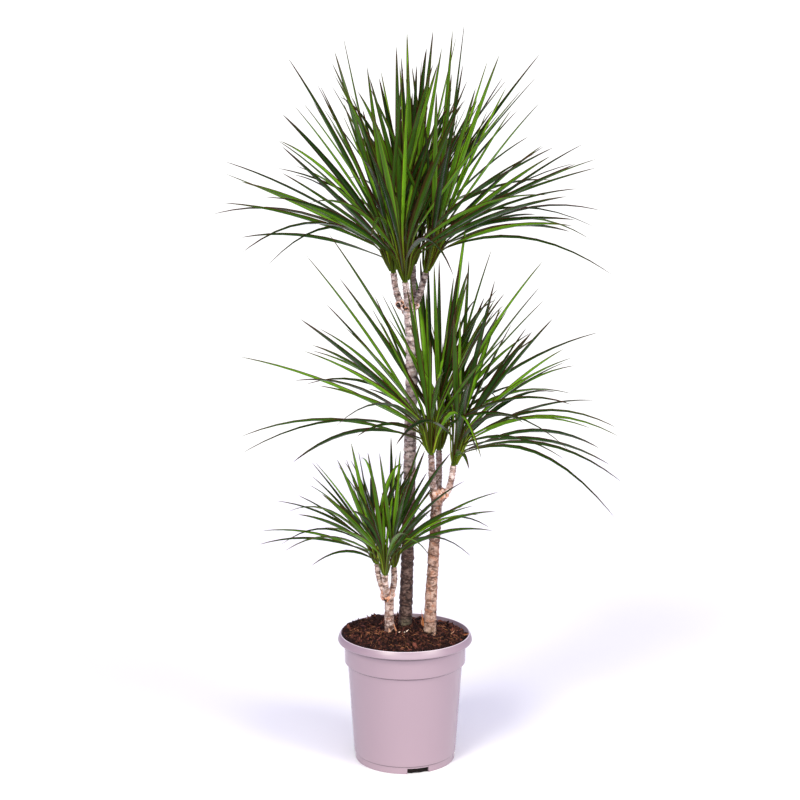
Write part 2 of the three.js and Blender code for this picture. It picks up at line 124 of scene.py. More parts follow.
def between(tree, value, low, high, to_low=0.0, to_high=1.0):
    """Smooth step of a value from low to high."""
    inputs = {"Value": value, "From Min": low, "From Max": high, "To Min": to_low, "To Max": to_high}
    return add_node(tree, "ShaderNodeMapRange", inputs, interpolation_type="SMOOTHSTEP").outputs[0]


def blend(tree, share, first, second, mode="MIX"):
    """One color laid over another by a share from 0 to 1."""
    return add_node(tree, "ShaderNodeMix", {0: share, 6: first, 7: second}, data_type="RGBA",
                    blend_type=mode).outputs[2]


def noise(tree, where, scale, detail=3.0, roughness=0.5):
    """A cloudy value near 0.5, with `scale` clouds to the metre and `detail` finer layers."""
    inputs = {"Vector": where, "Scale": scale, "Detail": detail, "Roughness": roughness}
    return add_node(tree, "ShaderNodeTexNoise", inputs).outputs[0]


def stretched(tree, where, scale):
    """Coordinates stretched by a scale on each axis."""
    return add_node(tree, "ShaderNodeMapping", {"Vector": where, "Scale": scale}).outputs[0]


def point_value(tree, name):
    """A number that the piece carries at each of its points."""
    return add_node(tree, "ShaderNodeAttribute", attribute_name=name).outputs["Fac"]


def new_finish(name):
    """A material with one shader, its node tree and that shader."""
    material = bpy.data.materials.new(name)
    material.use_nodes = True
    tree = material.node_tree
    return material, tree, tree.nodes["Principled BSDF"]


def object_place(tree):
    """Where a point is, in metres, with the pot's foot at the origin."""
    return add_node(tree, "ShaderNodeTexCoord").outputs["Object"]


def bump(tree, shader, height, distance, strength=1.0):
    """Tilts the normal as a relief would, where a height of 1 stands `distance` metres high."""
    inputs = {"Height": height, "Distance": distance, "Strength": strength}
    normal = add_node(tree, "ShaderNodeBump", inputs).outputs[0]
    tree.links.new(normal, shader.inputs["Normal"])


# %% [markdown]
# ## The studio
# The plant stands on a white floor in a white room. Two high soft boxes light it from the front, one
# on each side, and between them the wall behind the camera is lit, which draws the broad upright band
# of shine on the pot. Soft boxes that are big and far light the whole floor evenly, so each is a broad
# sun here. The room is bluish and the boxes are warm: the floor burns out to white, and only its
# shadows keep a lavender tint.

# %% Floor, room and lamps
FLOOR_RADIUS = 3.0
FLOOR_DROP = 0.2 * MM             # so that the pot's foot and the floor don't share a plane
FLOOR_SIDES = 64
FLOOR_COLOR = (0.95, 0.95, 0.95, 1)
FLOOR_ROUGHNESS = 0.9
ROOM_COLOR = (0.38, 0.36, 0.60, 1)
WALL_COLOR = (3.1, 3.06, 3.12, 1)
WALL_SIDES = (-38, 64)            # degrees to the right of the camera
WALL_FOOT = (-1, 2)               # degrees up, where its light fades in
WALL_TOP = 36                     # degrees up
SIDE_FADE, TOP_FADE = 3, 5        # half-widths of the fades at the wall's sides and top, in degrees
BACKDROP_COLOR = (1.2, 1.2, 1.2, 1)
SOFT_BOX_COLOR = (1.0, 0.98, 0.84)
SOFT_BOXES = {                    # degrees to the right of the camera, degrees up, strength, degrees wide
    "left_soft_box": (-34, 40, 1.9, 22),
    "right_soft_box": (52, 38, 1.2, 22),
}


def make_floor():
    """A flat disc: a ring of points at one radius, filled by one face."""
    angle = np.linspace(0, 2 * math.pi, FLOOR_SIDES, endpoint=False)
    ring = np.stack([np.cos(angle), np.sin(angle), 0 * angle], axis=1) * FLOOR_RADIUS
    ring[:, 2] = -FLOOR_DROP
    mesh = bpy.data.meshes.new("floor")
    mesh.from_pydata(ring.tolist(), [], [list(range(len(ring)))])
    material = bpy.data.materials.new("studio floor")
    material.use_nodes = True
    shader = material.node_tree.nodes["Principled BSDF"]
    shader.inputs["Base Color"].default_value = FLOOR_COLOR
    shader.inputs["Roughness"].default_value = FLOOR_ROUGHNESS
    mesh.materials.append(material)
    floor = bpy.data.objects.new("floor", mesh)
    bpy.context.scene.collection.objects.link(floor)


def make_room():
    """Even light from all round, brighter from the lit wall. A direction's angle to the right of the
    camera is atan2(x, -y) and its angle up is asin z. What is seen behind the plant is plain white."""
    world = bpy.data.worlds.new("white room")
    world.use_nodes = True
    tree = world.node_tree
    tree.nodes.clear()
    place = add_node(tree, "ShaderNodeTexCoord").outputs["Generated"]
    x, y, z = add_node(tree, "ShaderNodeSeparateXYZ", {0: place}).outputs
    right = calc(tree, "DEGREES", calc(tree, "ARCTAN2", x, times(tree, y, -1.0)))
    up = calc(tree, "DEGREES", calc(tree, "ARCSINE", z))
    low, high = WALL_SIDES
    within = times(tree, between(tree, right, low - SIDE_FADE, low + SIDE_FADE),
                   between(tree, right, high - SIDE_FADE, high + SIDE_FADE, 1, 0))
    raised = times(tree, between(tree, up, *WALL_FOOT),
                   between(tree, up, WALL_TOP - TOP_FADE, WALL_TOP + TOP_FADE, 1, 0))
    glow = blend(tree, times(tree, within, raised), ROOM_COLOR, WALL_COLOR)
    seen = add_node(tree, "ShaderNodeLightPath").outputs["Is Camera Ray"]
    sky = add_node(tree, "ShaderNodeBackground", {"Color": blend(tree, seen, glow, BACKDROP_COLOR)})
    output = tree.nodes.new("ShaderNodeOutputWorld")
    tree.links.new(sky.outputs[0], output.inputs["Surface"])
    bpy.context.scene.world = world


def make_soft_box(name, right, up, strength, width):
    """A sun shines down its own -Z axis: tip it up from straight down, then turn it to its side."""
    data = bpy.data.lights.new(name, "SUN")
    data.energy = strength
    data.angle = math.radians(width)
    data.color = SOFT_BOX_COLOR
    lamp = bpy.data.objects.new(name, data)
    lamp.rotation_euler = (math.radians(90 - up), 0, math.radians(right))
    bpy.context.scene.collection.objects.link(lamp)


make_floor()
make_room()
for name, facts in SOFT_BOXES.items():
    make_soft_box(name, *facts)
print("lamps", sorted(SOFT_BOXES))

# %% [markdown]
# ## From arrays to pieces
# Nearly everything on this plant is a stack of closed rings: the pot's profile turned round its
# axis, a cane's girth carried along its path, a leaf's section carried to its tip. One helper skins
# such a stack with quads and closes its ends with a fan round a pole point. The rings run
# anticlockwise about the direction in which they are stacked, so that every face looks outwards.

# %% Skin a stack of rings
def skin_faces(rings, sides):
    """Quads between ring i and i+1, and a triangle fan from each end ring to its pole point.
    Points are numbered ring by ring, then the first pole, then the last pole."""
    i, j = np.meshgrid(np.arange(rings - 1), np.arange(sides), indexing="ij")
    ahead = (j + 1) % sides
    quads = np.stack([i * sides + j, i * sides + ahead, (i + 1) * sides + ahead, (i + 1) * sides + j], -1)
    rim = np.arange(sides)
    after = (rim + 1) % sides
    first, last, top = rings * sides, rings * sides + 1, (rings - 1) * sides
    start = np.stack([np.full(sides, first), after, rim], -1)
    end = np.stack([np.full(sides, last), top + rim, top + after], -1)
    return quads.reshape(-1, 4), np.concatenate([start, end])


def skin_points(stack, first_pole, last_pole):
    """The points that go with skin_faces: a stack of (rings, sides, 3) and its two poles."""
    return np.concatenate([stack.reshape(-1, 3), [first_pole], [last_pole]])


def many(faces, count, stride):
    """The same faces for `count` copies whose points follow each other, `stride` points apart."""
    offset = stride * np.arange(count)[:, None, None]
    return (faces[None] + offset).reshape(-1, faces.shape[1])


def joined(parts):
    """One set of (points, quads, triangles, values) from several. Values are arrays by name, one
    number for each point."""
    start = np.cumsum([0] + [len(part[0]) for part in parts[:-1]])
    points = np.concatenate([part[0] for part in parts])
    quads = np.concatenate([part[1] + n for part, n in zip(parts, start)])
    triangles = np.concatenate([part[2] + n for part, n in zip(parts, start)])
    values = {key: np.concatenate([part[3][key] for part in parts]) for key in parts[0][3]}
    return points, quads, triangles, values


def unit_lump(rings, sides):
    """A ball of radius 1: x = cos(lat) cos(lon), y = cos(lat) sin(lon), z = sin(lat)."""
    lat = np.linspace(-1, 1, rings + 2)[1:-1, None] * math.pi / 2
    lon = np.linspace(0, 2 * math.pi, sides, endpoint=False)
    stack = np.stack([np.cos(lat) * np.cos(lon), np.cos(lat) * np.sin(lon), np.sin(lat) + 0 * lon], -1)
    return skin_points(stack, (0, 0, -1), (0, 0, 1)), *skin_faces(rings, sides)


# %% Put arrays into a mesh
def bare_object(name, part):
    """An object from one set of arrays. Each array of values becomes an attribute of the points."""
    points, quads, triangles, values = part
    mesh = bpy.data.meshes.new(name)
    mesh.from_pydata(points.tolist(), [], quads.tolist() + triangles.tolist())
    for key, numbers in values.items():
        layer = mesh.attributes.new(key, "FLOAT", "POINT")
        layer.data.foreach_set("value", numbers.astype(np.float32))
    thing = bpy.data.objects.new(name, mesh)
    bpy.context.scene.collection.objects.link(thing)
    return thing


def make_piece(name, part, material, crease=35.0):
    """A finished piece of the plant. Edges sharper than `crease` degrees stay crisp."""
    points, quads, triangles, _ = part
    piece = bare_object(name, part)
    piece.data.shade_smooth()
    piece.data.set_sharp_from_angle(angle=math.radians(crease))
    piece.data.materials.append(material)
    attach(piece, "root")
    print(f"{name}: {len(points)} points, {2 * len(quads) + len(triangles)} triangles")
    return piece


def apply_boolean(piece, cutter, operation):
    """Cut or join with another closed mesh, keep the result and remove the other mesh."""
    step = piece.modifiers.new("cut", "BOOLEAN")
    step.object = cutter
    step.operation = operation
    step.solver = "MANIFOLD"
    graph = bpy.context.evaluated_depsgraph_get()
    result = bpy.data.meshes.new_from_object(piece.evaluated_get(graph))
    piece.modifiers.clear()
    old = piece.data
    piece.data = result
    bpy.data.meshes.remove(old)
    bpy.data.objects.remove(cutter)


# %% [markdown]
# ## Roughness without pictures
# Bark, peat and wood are irregular at every size. A cloudy field gives that: random numbers on a
# lattice of points, blended smoothly between them, with finer and weaker layers added on top. The
# numbers come from a fixed mixing rule, so the plant is the same on each run.

# %% Directions of length 1
def unit(vector):
    """The vector divided by its length."""
    return vector / np.linalg.norm(vector)


def unit_rows(vectors):
    """Each row of an array divided by its own length."""
    return vectors / np.linalg.norm(vectors, axis=-1)[..., None]


# %% A cloudy field
def cloudy(points, size, seed):
    """Smooth field from -1 to 1: lattice values `size` apart, blended by t*t*(3-2t) on each axis."""
    place = points / size + 512.0
    cell = np.floor(place).astype(np.int64)
    t = place - cell
    t = t * t * (3 - 2 * t)
    total = np.zeros(points.shape[:-1])
    for corner in itertools.product((0, 1), repeat=3):
        near = cell + np.array(corner)
        mixed = near[..., 0] * 73856093 ^ near[..., 1] * 19349663 ^ near[..., 2] * 83492791
        mixed = (mixed + seed * 7919) * 2654435761 % 4294967296
        mixed = (mixed ^ (mixed >> 15)) * 2246822519 % 4294967296
        value = (mixed >> 8) / 8388608.0 - 1.0
        weight = np.prod(np.where(corner, t, 1 - t), axis=-1)
        total += weight * value
    return total


def rough(points, size, seed, layers=3):
    """A cloudy field with finer layers on top, each half the size and half the strength."""
    return sum(cloudy(points, size / 2**k, seed + k) / 2**k for k in range(layers))


# %% [markdown]
# ## The pot
# A nursery pot is one thin moulding: a tapering body, a straight collar that keeps stacked pots
# apart, a rolled band that stiffens the rim, and a foot ring with notches that let water out. It is
# a profile turned round the axis. The corners of a moulding are never sharp, so each corner of the
# profile is rounded by a small curve, and the light catches its edges as on the real one.

# %% Pot sizes
POT = {
    "height": 230, "rim_radius": 120, "rim_band": 13, "flare_bottom": 215, "flare_radius": 113.5,
    "collar_radius": 108, "collar_bottom": 177, "body_radius_top": 102.5, "body_radius_foot": 91.5,
    "foot_height": 12, "foot_radius": 89.5, "wall": 2.6, "floor_top": 15, "pad_radius": 30,
    "notch_width": 39, "notch_height": 9.5, "drain_radius": 7, "drain_circle": 62,
}
POT = {key: value * MM for key, value in POT.items()}
NOTCH_ANGLES = np.radians([-75, 45, 165])
DRAIN_COUNT = 6
DRAIN_SIDES = 32
FOOT_WALL = 5 * MM
LIP_DROP = 1.2 * MM
PROFILE_STEP = 6 * MM             # longest edge of the profile


def inner_radius(z):
    """The inner wall's radius at a height: the body tapers, the collar is straight, the rim flares."""
    collar = POT["collar_radius"] - POT["wall"]
    rise = (z - POT["foot_height"]) / (POT["collar_bottom"] - POT["foot_height"])
    body = POT["body_radius_foot"] + rise * (POT["body_radius_top"] - POT["body_radius_foot"])
    flare = np.interp(z, [POT["flare_bottom"], POT["height"] - LIP_DROP], [collar, POT["flare_radius"]])
    return np.where(z > POT["collar_bottom"], flare, body - POT["wall"])


# %% Pot profile
def rounded(corners, steps=5):
    """A profile whose corners are rounded. A corner is (radius, height, rounding), and it becomes a
    quadratic curve (1-t)^2 A + 2t(1-t) C + t^2 B that starts and ends `rounding` from the corner."""
    place, size = corners[:, :2], corners[:, 2:]
    back = unit_rows(np.roll(place, 1, axis=0) - place)
    ahead = unit_rows(np.roll(place, -1, axis=0) - place)
    start, end = (place + back * size)[:, None], (place + ahead * size)[:, None]
    t = np.linspace(0, 1, steps)[None, :, None]
    curve = (1 - t) ** 2 * start + 2 * t * (1 - t) * place[:, None] + t**2 * end
    return curve.reshape(-1, 2)


def spaced(profile, longest):
    """The same profile with points added where two lie further apart than `longest`."""
    lengths = np.linalg.norm(np.diff(profile, axis=0), axis=1)
    counts = np.maximum(1, np.ceil(lengths / longest)).astype(int)
    within = [n + np.arange(count) / count for n, count in enumerate(counts)]
    stops = np.concatenate(within + [[len(counts)]])
    whole = np.arange(len(profile))
    return np.stack([np.interp(stops, whole, profile[:, 0]), np.interp(stops, whole, profile[:, 1])], 1)


def pot_profile():
    """From the middle of the underside, out and up the wall, over the rim and down to the floor. Each
    corner is (radius, height, rounding in mm)."""
    p = POT
    band_bottom = p["height"] - p["rim_band"]
    recess = p["foot_height"] - MM
    inside = inner_radius(np.array([p["flare_bottom"], p["collar_bottom"], p["floor_top"]]))
    corners = [
        (p["pad_radius"], 0, 0.8), (p["pad_radius"] + 6 * MM, recess, 1.0),
        (p["foot_radius"] - FOOT_WALL, recess, 0.8), (p["foot_radius"] - FOOT_WALL + MM, 0, 0.4),
        (p["foot_radius"], 0, 0.7), (p["foot_radius"] - 0.4 * MM, p["foot_height"], 0.2),
        (p["body_radius_foot"], p["foot_height"] + 1.3 * MM, 0.7),
        (p["body_radius_top"], p["collar_bottom"] - 2 * MM, 0.8),
        (p["collar_radius"], p["collar_bottom"] + 1.6 * MM, 1.1),
        (p["collar_radius"] + 0.6 * MM, band_bottom + MM, 0.5),
        (p["rim_radius"] - 0.8 * MM, band_bottom, 0.5), (p["rim_radius"], band_bottom + 1.6 * MM, 0.7),
        (p["rim_radius"] - 1.6 * MM, band_bottom + 7 * MM, 2.0),
        (p["rim_radius"] - 3.9 * MM, p["height"] - 1.2 * MM, 1.0),
        (p["rim_radius"] - 4.8 * MM, p["height"], 0.5), (p["flare_radius"] + 0.9 * MM, p["height"], 0.4),
        (p["flare_radius"], p["height"] - 1.6 * MM, 0.8), (inside[0], p["flare_bottom"], 2.0),
        (inside[0], p["collar_bottom"] + MM, 1.2),
        (inside[1] - 0.2 * MM, p["collar_bottom"] - 3 * MM, 1.2), (inside[2], p["floor_top"], 2.0),
    ]
    corners = np.array(corners) * [1, 1, MM]
    return spaced(rounded(corners), PROFILE_STEP)


profile = pot_profile()
print("pot profile", len(profile), "points")

# %% [markdown]
# The notches are cut in the foot ring by lifting its lower edge. The ring's points are squeezed
# upwards over the notch, and two columns of points stand close together at each end of it, so that
# the end wall is upright and the plastic over the notch keeps its thickness.

# %% Pot surface
POT_COLUMNS = 216
NOTCH_END = math.radians(0.22)    # angle over which a notch's end wall rises


def turned(profile, angles):
    """Rings of points: x = r cos a, y = r sin a, z = h, one ring for each point of the profile."""
    radius, height = profile[:, :1], profile[:, 1:]
    across = np.broadcast_to(height, (len(profile), len(angles)))
    return np.stack([radius * np.cos(angles), radius * np.sin(angles), across], -1)


def notch_lift(angles):
    """How far the foot ring's lower edge is lifted at each angle: the full height inside a notch."""
    half = math.asin(POT["notch_width"] / 2 / POT["foot_radius"])
    away = np.abs((angles[:, None] - NOTCH_ANGLES + math.pi) % (2 * math.pi) - math.pi)
    inside = np.clip((half - away) / NOTCH_END + 0.5, 0, 1).max(axis=1)
    return POT["notch_height"] * inside


def pot_angles():
    """Even columns, and a pair of columns at each end of each notch. An even column that comes too
    close to such a pair is left out."""
    half = math.asin(POT["notch_width"] / 2 / POT["foot_radius"])
    ends = (NOTCH_ANGLES[:, None] + [-half, half]).ravel()
    pairs = (ends[:, None] + [-0.5 * NOTCH_END, 0.5 * NOTCH_END]).ravel() % (2 * math.pi)
    even = np.linspace(0, 2 * math.pi, POT_COLUMNS, endpoint=False)
    nearest = np.abs((even[:, None] - pairs + math.pi) % (2 * math.pi) - math.pi).min(axis=1)
    return np.sort(np.concatenate([even[nearest > 0.4 * math.pi / POT_COLUMNS], pairs]))


def pot_part():
    """The turned profile with its notches, and a value that is 1 on the outside and 0 within."""
    angles = pot_angles()
    rings = turned(profile, angles)
    ring_top = POT["foot_height"] - MM
    radius = np.hypot(rings[..., 0], rings[..., 1])
    on_foot = (radius > POT["foot_radius"] - FOOT_WALL - MM) & (radius < POT["foot_radius"] + MM)
    on_foot &= rings[..., 2] < ring_top
    squeezed = notch_lift(angles) + rings[..., 2] * (1 - notch_lift(angles) / ring_top)
    rings[..., 2] = np.where(on_foot, squeezed, rings[..., 2])
    quads, triangles = skin_faces(*rings.shape[:2])
    points = skin_points(rings, (0, 0, 0), (0, 0, POT["floor_top"]))
    lip = np.argmax(profile[:, 1])
    outside = np.repeat((np.arange(len(profile)) < lip).astype(float), len(angles))
    return points, quads, triangles, {"outside": np.concatenate([outside, [1, 0]])}


# %% [markdown]
# The finish is a pale mauve plastic with a satin skin. Moulded plastic is never quite even: the
# surface has a fine orange-peel texture and the color drifts a little, which keeps the long
# reflections of the soft boxes from looking like glass. Painted shade darkens thin lines in the corners
# where the outer wall steps: under the rim band, under the collar and above the foot ring. The lip is
# paled by a painted highlight, the rim band is duller than the wall, and the inside is dull and darker,
# part soil stain and part painted shade.

# %% Pot finish
PLASTIC = (0.293, 0.211, 0.249, 1)
PLASTIC_DEEPER = (0.284, 0.203, 0.241, 1)
# dark mauve of the painted shade lines, and of the inside's soil stain and painted shade
PLASTIC_SHADE_AND_STAIN = (0.06, 0.04, 0.047, 1)
# pale color of the painted highlight along the lip
PLASTIC_HIGHLIGHT = (0.8, 0.7, 0.76, 1)
LIP_HIGHLIGHT_HEIGHTS = (229.1 * MM, 229.8 * MM)   # the lip is paled above these heights, a painted highlight
LIP_HIGHLIGHT_SHARE = 0.85
BAND_LEVELS = (216 * MM, 218 * MM)      # the rim band is duller above these heights
BAND_DULLNESS = 0.14
INSIDE_DULLNESS = 0.4
# how far the inside darkens, part soil stain and part painted shade
INSIDE_STAIN_AND_SHADE = 0.35
# how dark the painted shade lines in the outer wall's corners are
SHADE_LINE_SHARE = 0.95
SATIN = (0.19, 0.23)                    # roughness of the skin, from one grain to the next
GRAIN_SCALE = 260.0
GRAIN_HEIGHT = 0.02 * MM
SHADE_LINE_LEVELS = {                    # height and half-width of each painted shade line, in millimetres
    "under the band": (213.8, 3.4), "under the collar": (176.6, 2.0), "above the foot": (12.6, 1.8),
}


def painted_shade_lines(tree, height):
    """The painted shade lines: the largest of three smooth bumps over the height, each 1 on its
    line and 0 at its half-width.
    """
    corner_shade = 0.0
    for level, half_width in SHADE_LINE_LEVELS.values():
        away = calc(tree, "ABSOLUTE", calc(tree, "SUBTRACT", height, level * MM))
        corner_shade = calc(tree, "MAXIMUM", between(tree, away, 0.0, half_width * MM, 1, 0), corner_shade)
    return corner_shade


def plastic_finish():
    """Two mauves drift into each other. Painted shade lines, and soil stain with painted shade inside,
    darken them, and the painted lip highlight is laid on top.
    """
    material, tree, shader = new_finish("mauve plastic")
    where = object_place(tree)
    height = add_node(tree, "ShaderNodeSeparateXYZ", {0: where}).outputs["Z"]
    drift = noise(tree, where, 9.0, 1.0)
    # painted shade: dark lines in the outer wall's corners, under the rim band, under the collar and
    # above the foot ring
    corner_shade = times(tree, painted_shade_lines(tree, height), point_value(tree, "outside"))
    color = blend(tree, drift, PLASTIC, PLASTIC_DEEPER)
    inside = calc(tree, "SUBTRACT", 1.0, point_value(tree, "outside"))
    # the inside darkens, part soil stain and part painted shade, and the corner lines are painted shade
    shade_and_stain = calc(tree, "MAXIMUM", times(tree, corner_shade, SHADE_LINE_SHARE), times(tree, inside, INSIDE_STAIN_AND_SHADE))
    color = blend(tree, shade_and_stain, color, PLASTIC_SHADE_AND_STAIN)
    # painted highlight: the lip is paled along its top
    color = blend(tree, between(tree, height, *LIP_HIGHLIGHT_HEIGHTS, 0.0, LIP_HIGHLIGHT_SHARE), color, PLASTIC_HIGHLIGHT)
    tree.links.new(color, shader.inputs["Base Color"])
    grain = noise(tree, where, GRAIN_SCALE, 1.0)
    satin = between(tree, grain, 0.2, 0.8, *SATIN)
    dull_band = between(tree, height, *BAND_LEVELS, 0.0, BAND_DULLNESS)
    satin = calc(tree, "ADD", calc(tree, "ADD", satin, dull_band), times(tree, inside, INSIDE_DULLNESS))
    tree.links.new(satin, shader.inputs["Roughness"])
    shader.inputs["Specular IOR Level"].default_value = 0.75
    bump(tree, shader, grain, GRAIN_HEIGHT, 0.5)
    return material


# %% Make the pot
def upright_cylinder(low, high, radius, sides):
    """A closed stack of two level rings, with its ends at two points."""
    circle = np.linspace(0, 2 * math.pi, sides, endpoint=False)
    ring = radius * np.stack([np.cos(circle), np.sin(circle), 0 * circle], 1)
    return skin_points(np.stack([low + ring, high + ring]), low, high), *skin_faces(2, sides), {}


def drain_cutter():
    """Upright cylinders through the floor, evenly round the drain circle."""
    parts = []
    for angle in 2 * math.pi * np.arange(DRAIN_COUNT) / DRAIN_COUNT:
        middle = np.array([math.cos(angle), math.sin(angle), 0]) * POT["drain_circle"]
        low, high = middle - 5 * MM * UP, middle + (POT["floor_top"] + 5 * MM) * UP
        parts.append(upright_cylinder(low, high, POT["drain_radius"], DRAIN_SIDES))
    return bare_object("cutter", joined(parts))


pot = make_piece("nursery_pot", pot_part(), plastic_finish(), crease=30)
apply_boolean(pot, drain_cutter(), "DIFFERENCE")
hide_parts("pot")

# %% [markdown]
# ## The canes
# A dracaena's trunk is the record of its leaves: each fallen leaf leaves a pale oval face and a thin
# curved line, and each next one sits a turn of 137.5 degrees further round. Pauses in the growth
# leave nearly level rings with a swelling above, and painted shade darkens their grooves. Here a
# round section is carried along a smooth path, and its radius dips at every ring and swells just
# above it. Where the trunk was cut, callus swelled over the wound and the branches broke through it:
# that is the knob, and its lumps have rows of their own. The rows below are in millimetres: x, y, z
# and radius along a stem, as in the frame, or x, y, z and the three half-sizes of a lump. Branches
# that stand in the shade of the others have a share by which their bark is dimmed, as painted shade.

# %% Cane rows
CANES = {
    "tall": {
        "trunk": [[0, 15, 150, 11.2], [0, 15, 228, 11.9], [2, 15, 290, 11.5], [4, 15, 356, 11.1],
                  [6, 15, 430, 10.9], [8, 15, 510, 10.8], [9, 15, 590, 10.7], [11, 15, 670, 10.2],
                  [11, 15, 752, 9.8], [9, 15, 792, 10.6], [7, 15, 808, 12.6], [8, 15, 819, 9]],
        "branches": {
            "left": [[2, 15, 800, 6], [-10, 13, 822, 6], [-17, 10, 846, 5.6], [-20, 8, 870, 5.6]],
            "front": [[7, 12, 804, 6.4], [5, -3, 822, 6.2], [2, -14, 838, 5.8], [0, -20, 856, 5.8]],
            "back": [[11, 18, 804, 6], [14, 28, 826, 5.6], [14, 38, 852, 5.4], [13, 43, 880, 5.4]],
            "right": [[12, 14, 802, 6.2], [21, 13, 822, 6.2], [29, 12, 846, 5.8], [35, 10, 870, 5.8]],
        },
        "lumps": [[-7, 12, 815, 9, 9, 8], [3, 6, 811, 9, 8, 7], [16, 13, 812, 8, 9, 8],
                  [12, 22, 810, 7, 7, 7]],
        "dim": {"back": 0.8, "right": 0.7}, "ring_spacing": 17.5, "ring_width": 2.0, "seed": 3,
    },
    "middle": {
        "trunk": [[44, -22, 150, 10.6], [44, -22, 230, 10.6], [46, -21, 300, 10.6], [50, -20, 372, 10],
                  [53, -20, 430, 9.8], [55, -20, 468, 10.2], [57, -20, 482, 12.2], [58, -20, 494, 8.6]],
        "branches": {
            "left": [[54, -22, 478, 6], [48, -30, 504, 5.8], [46, -38, 530, 5.6], [45, -42, 560, 5.6]],
            "back": [[58, -16, 480, 5.8], [59, 0, 504, 5.6], [60, 12, 530, 5.4], [60, 17, 556, 5.4]],
            "right": [[62, -20, 476, 6], [75, -20, 492, 5.8], [81, -20, 512, 5.4], [84, -20, 536, 5.4]],
        },
        "lumps": [[51, -26, 486, 8, 8, 9], [61, -24, 484, 9, 8, 8], [57, -14, 486, 8, 8, 8],
                  [66, -24, 493, 4.2, 4.2, 5], [70, -21, 484, 7, 6.5, 6]],
        "dim": {"left": 0.6, "back": 0.8}, "ring_spacing": 21, "ring_width": 1.2, "seed": 5,
    },
    "short": {
        "trunk": [[-27, -14, 150, 9], [-27, -14, 232, 9.2], [-28, -14, 262, 8.2], [-28, -15, 290, 8.4],
                  [-30, -16, 302, 9.8], [-31, -17, 312, 7]],
        "branches": {
            "left": [[-33, -14, 300, 5.4], [-41, -6, 316, 5.2], [-47, -1, 334, 5], [-50, 1, 354, 5]],
            "front": [[-31, -20, 301, 5.4], [-33, -32, 315, 5.2], [-35, -40, 330, 5], [-35, -43, 346, 5]],
            "right": [[-27, -14, 300, 5.4], [-21, -16, 318, 5.4], [-19, -18, 336, 5.2],
                      [-20, -19, 354, 5]],
        },
        "lumps": [[-37, -13, 299, 6.5, 7, 8], [-24, -15, 302, 6.5, 6.5, 8], [-32, -22, 299, 6.5, 6, 8]],
        "dim": {"right": 0.3}, "ring_spacing": 10.5, "ring_width": 1.0, "seed": 8,
    },
}
GOLDEN_TURN = math.radians(137.5)
RING_STEP = 0.8 * MM              # between rings of points along a cane
PATH_STEPS = 40                   # curve points between two rows
TRUNK_SIDES = 48
BRANCH_SIDES = 32
BRANCH_RINGS, BRANCH_RING_WIDTH = 6.2 * MM, 0.7 * MM


# %% A smooth path through rows
def smooth_path(rows, step):
    """Catmull-Rom curve through rows of (x, y, z, radius) in millimetres, then even steps along it:
    P(t) = half of (2B + (C-A)t + (2A-5B+4C-D)t^2 + (3B-A-3C+D)t^3) between the middle two of four."""
    rows = np.array(rows, float) * MM
    padded = np.concatenate([2 * rows[:1] - rows[1:2], rows, 2 * rows[-1:] - rows[-2:-1]])
    a, b, c, d = (padded[k:len(rows) + k - 1, None] for k in range(4))
    t = np.linspace(0, 1, PATH_STEPS, endpoint=False)[None, :, None]
    curve = 0.5 * (2 * b + (c - a) * t + (2 * a - 5 * b + 4 * c - d) * t**2
                   + (3 * b - a - 3 * c + d) * t**3)
    curve = np.concatenate([curve.reshape(-1, 4), rows[-1:]])
    gone = np.concatenate([[0], np.cumsum(np.linalg.norm(np.diff(curve[:, :3], axis=0), axis=1))])
    stops = np.linspace(0, gone[-1], max(4, round(gone[-1] / step)))
    return stops, np.stack([np.interp(stops, gone, curve[:, k]) for k in range(4)], 1)


def tube_frame(path):
    """Two directions square to the path at each point: across = Y x along, then along x across."""
    along = unit_rows(np.gradient(path[:, :3], axis=0))
    across = unit_rows(np.cross([0.0, 1.0, 0.0], along))
    return across, np.cross(along, across)


# %% Rings and leaf scars
SWELLING_AT, SWELLING_WIDTH = 2.2, 1.9   # above a ring's groove, in widths of the groove
SCAR_WIDTH = 0.65 * MM
SCAR_SPACING = 15 * MM
SCAR_CLIMB = 0.52                 # how far a scar falls for each length that it goes round
FACE_SPACING = 0.75               # of the stem's radius, from one scar's pale face to the next


def growth_rings(along, around, spacing, width, draw):
    """Shares of the rings' grooves and of the swelling above each. Ring n runs at the height
    n*spacing + a small tilt*cos(angle - its own direction)."""
    groove, swelling = np.zeros_like(along), np.zeros_like(along)
    for n in range(-1, int(along.max() / spacing) + 2):
        tilt, turn = draw.uniform(0.02, 0.12) * spacing, draw.uniform(0, 2 * math.pi)
        level = (n + 0.32 * draw.uniform(-1, 1)) * spacing + tilt * np.cos(around - turn)
        strength = draw.uniform(0.5, 1.0)
        gap = (along - level) / (width * draw.uniform(0.7, 1.3))
        groove = np.maximum(groove, strength * np.exp(-gap**2))
        swelling = np.maximum(swelling, strength * np.exp(-((gap - SWELLING_AT) / SWELLING_WIDTH) ** 2))
    return groove, swelling


def leaf_scars(along, around, radius, draw):
    """Share of the pale leaf scars. Scar n is a piece of a helix that falls by climb*radius for each
    radian round, and its middle turns 137.5 degrees from one scar to the next."""
    crescent = np.zeros_like(along)
    for n in range(-1, int(along.max() / SCAR_SPACING) + 2):
        away = (around - GOLDEN_TURN * n + math.pi) % (2 * math.pi) - math.pi
        level = (n + 0.35 * draw.uniform(-1, 1)) * SCAR_SPACING - SCAR_CLIMB * radius * away
        reach = draw.uniform(0.7, 1.2)
        share = draw.uniform(0.5, 1.0) * np.exp(-((away / reach) ** 4))
        crescent = np.maximum(crescent, share * np.exp(-(((along - level) / SCAR_WIDTH) ** 2)))
    return crescent


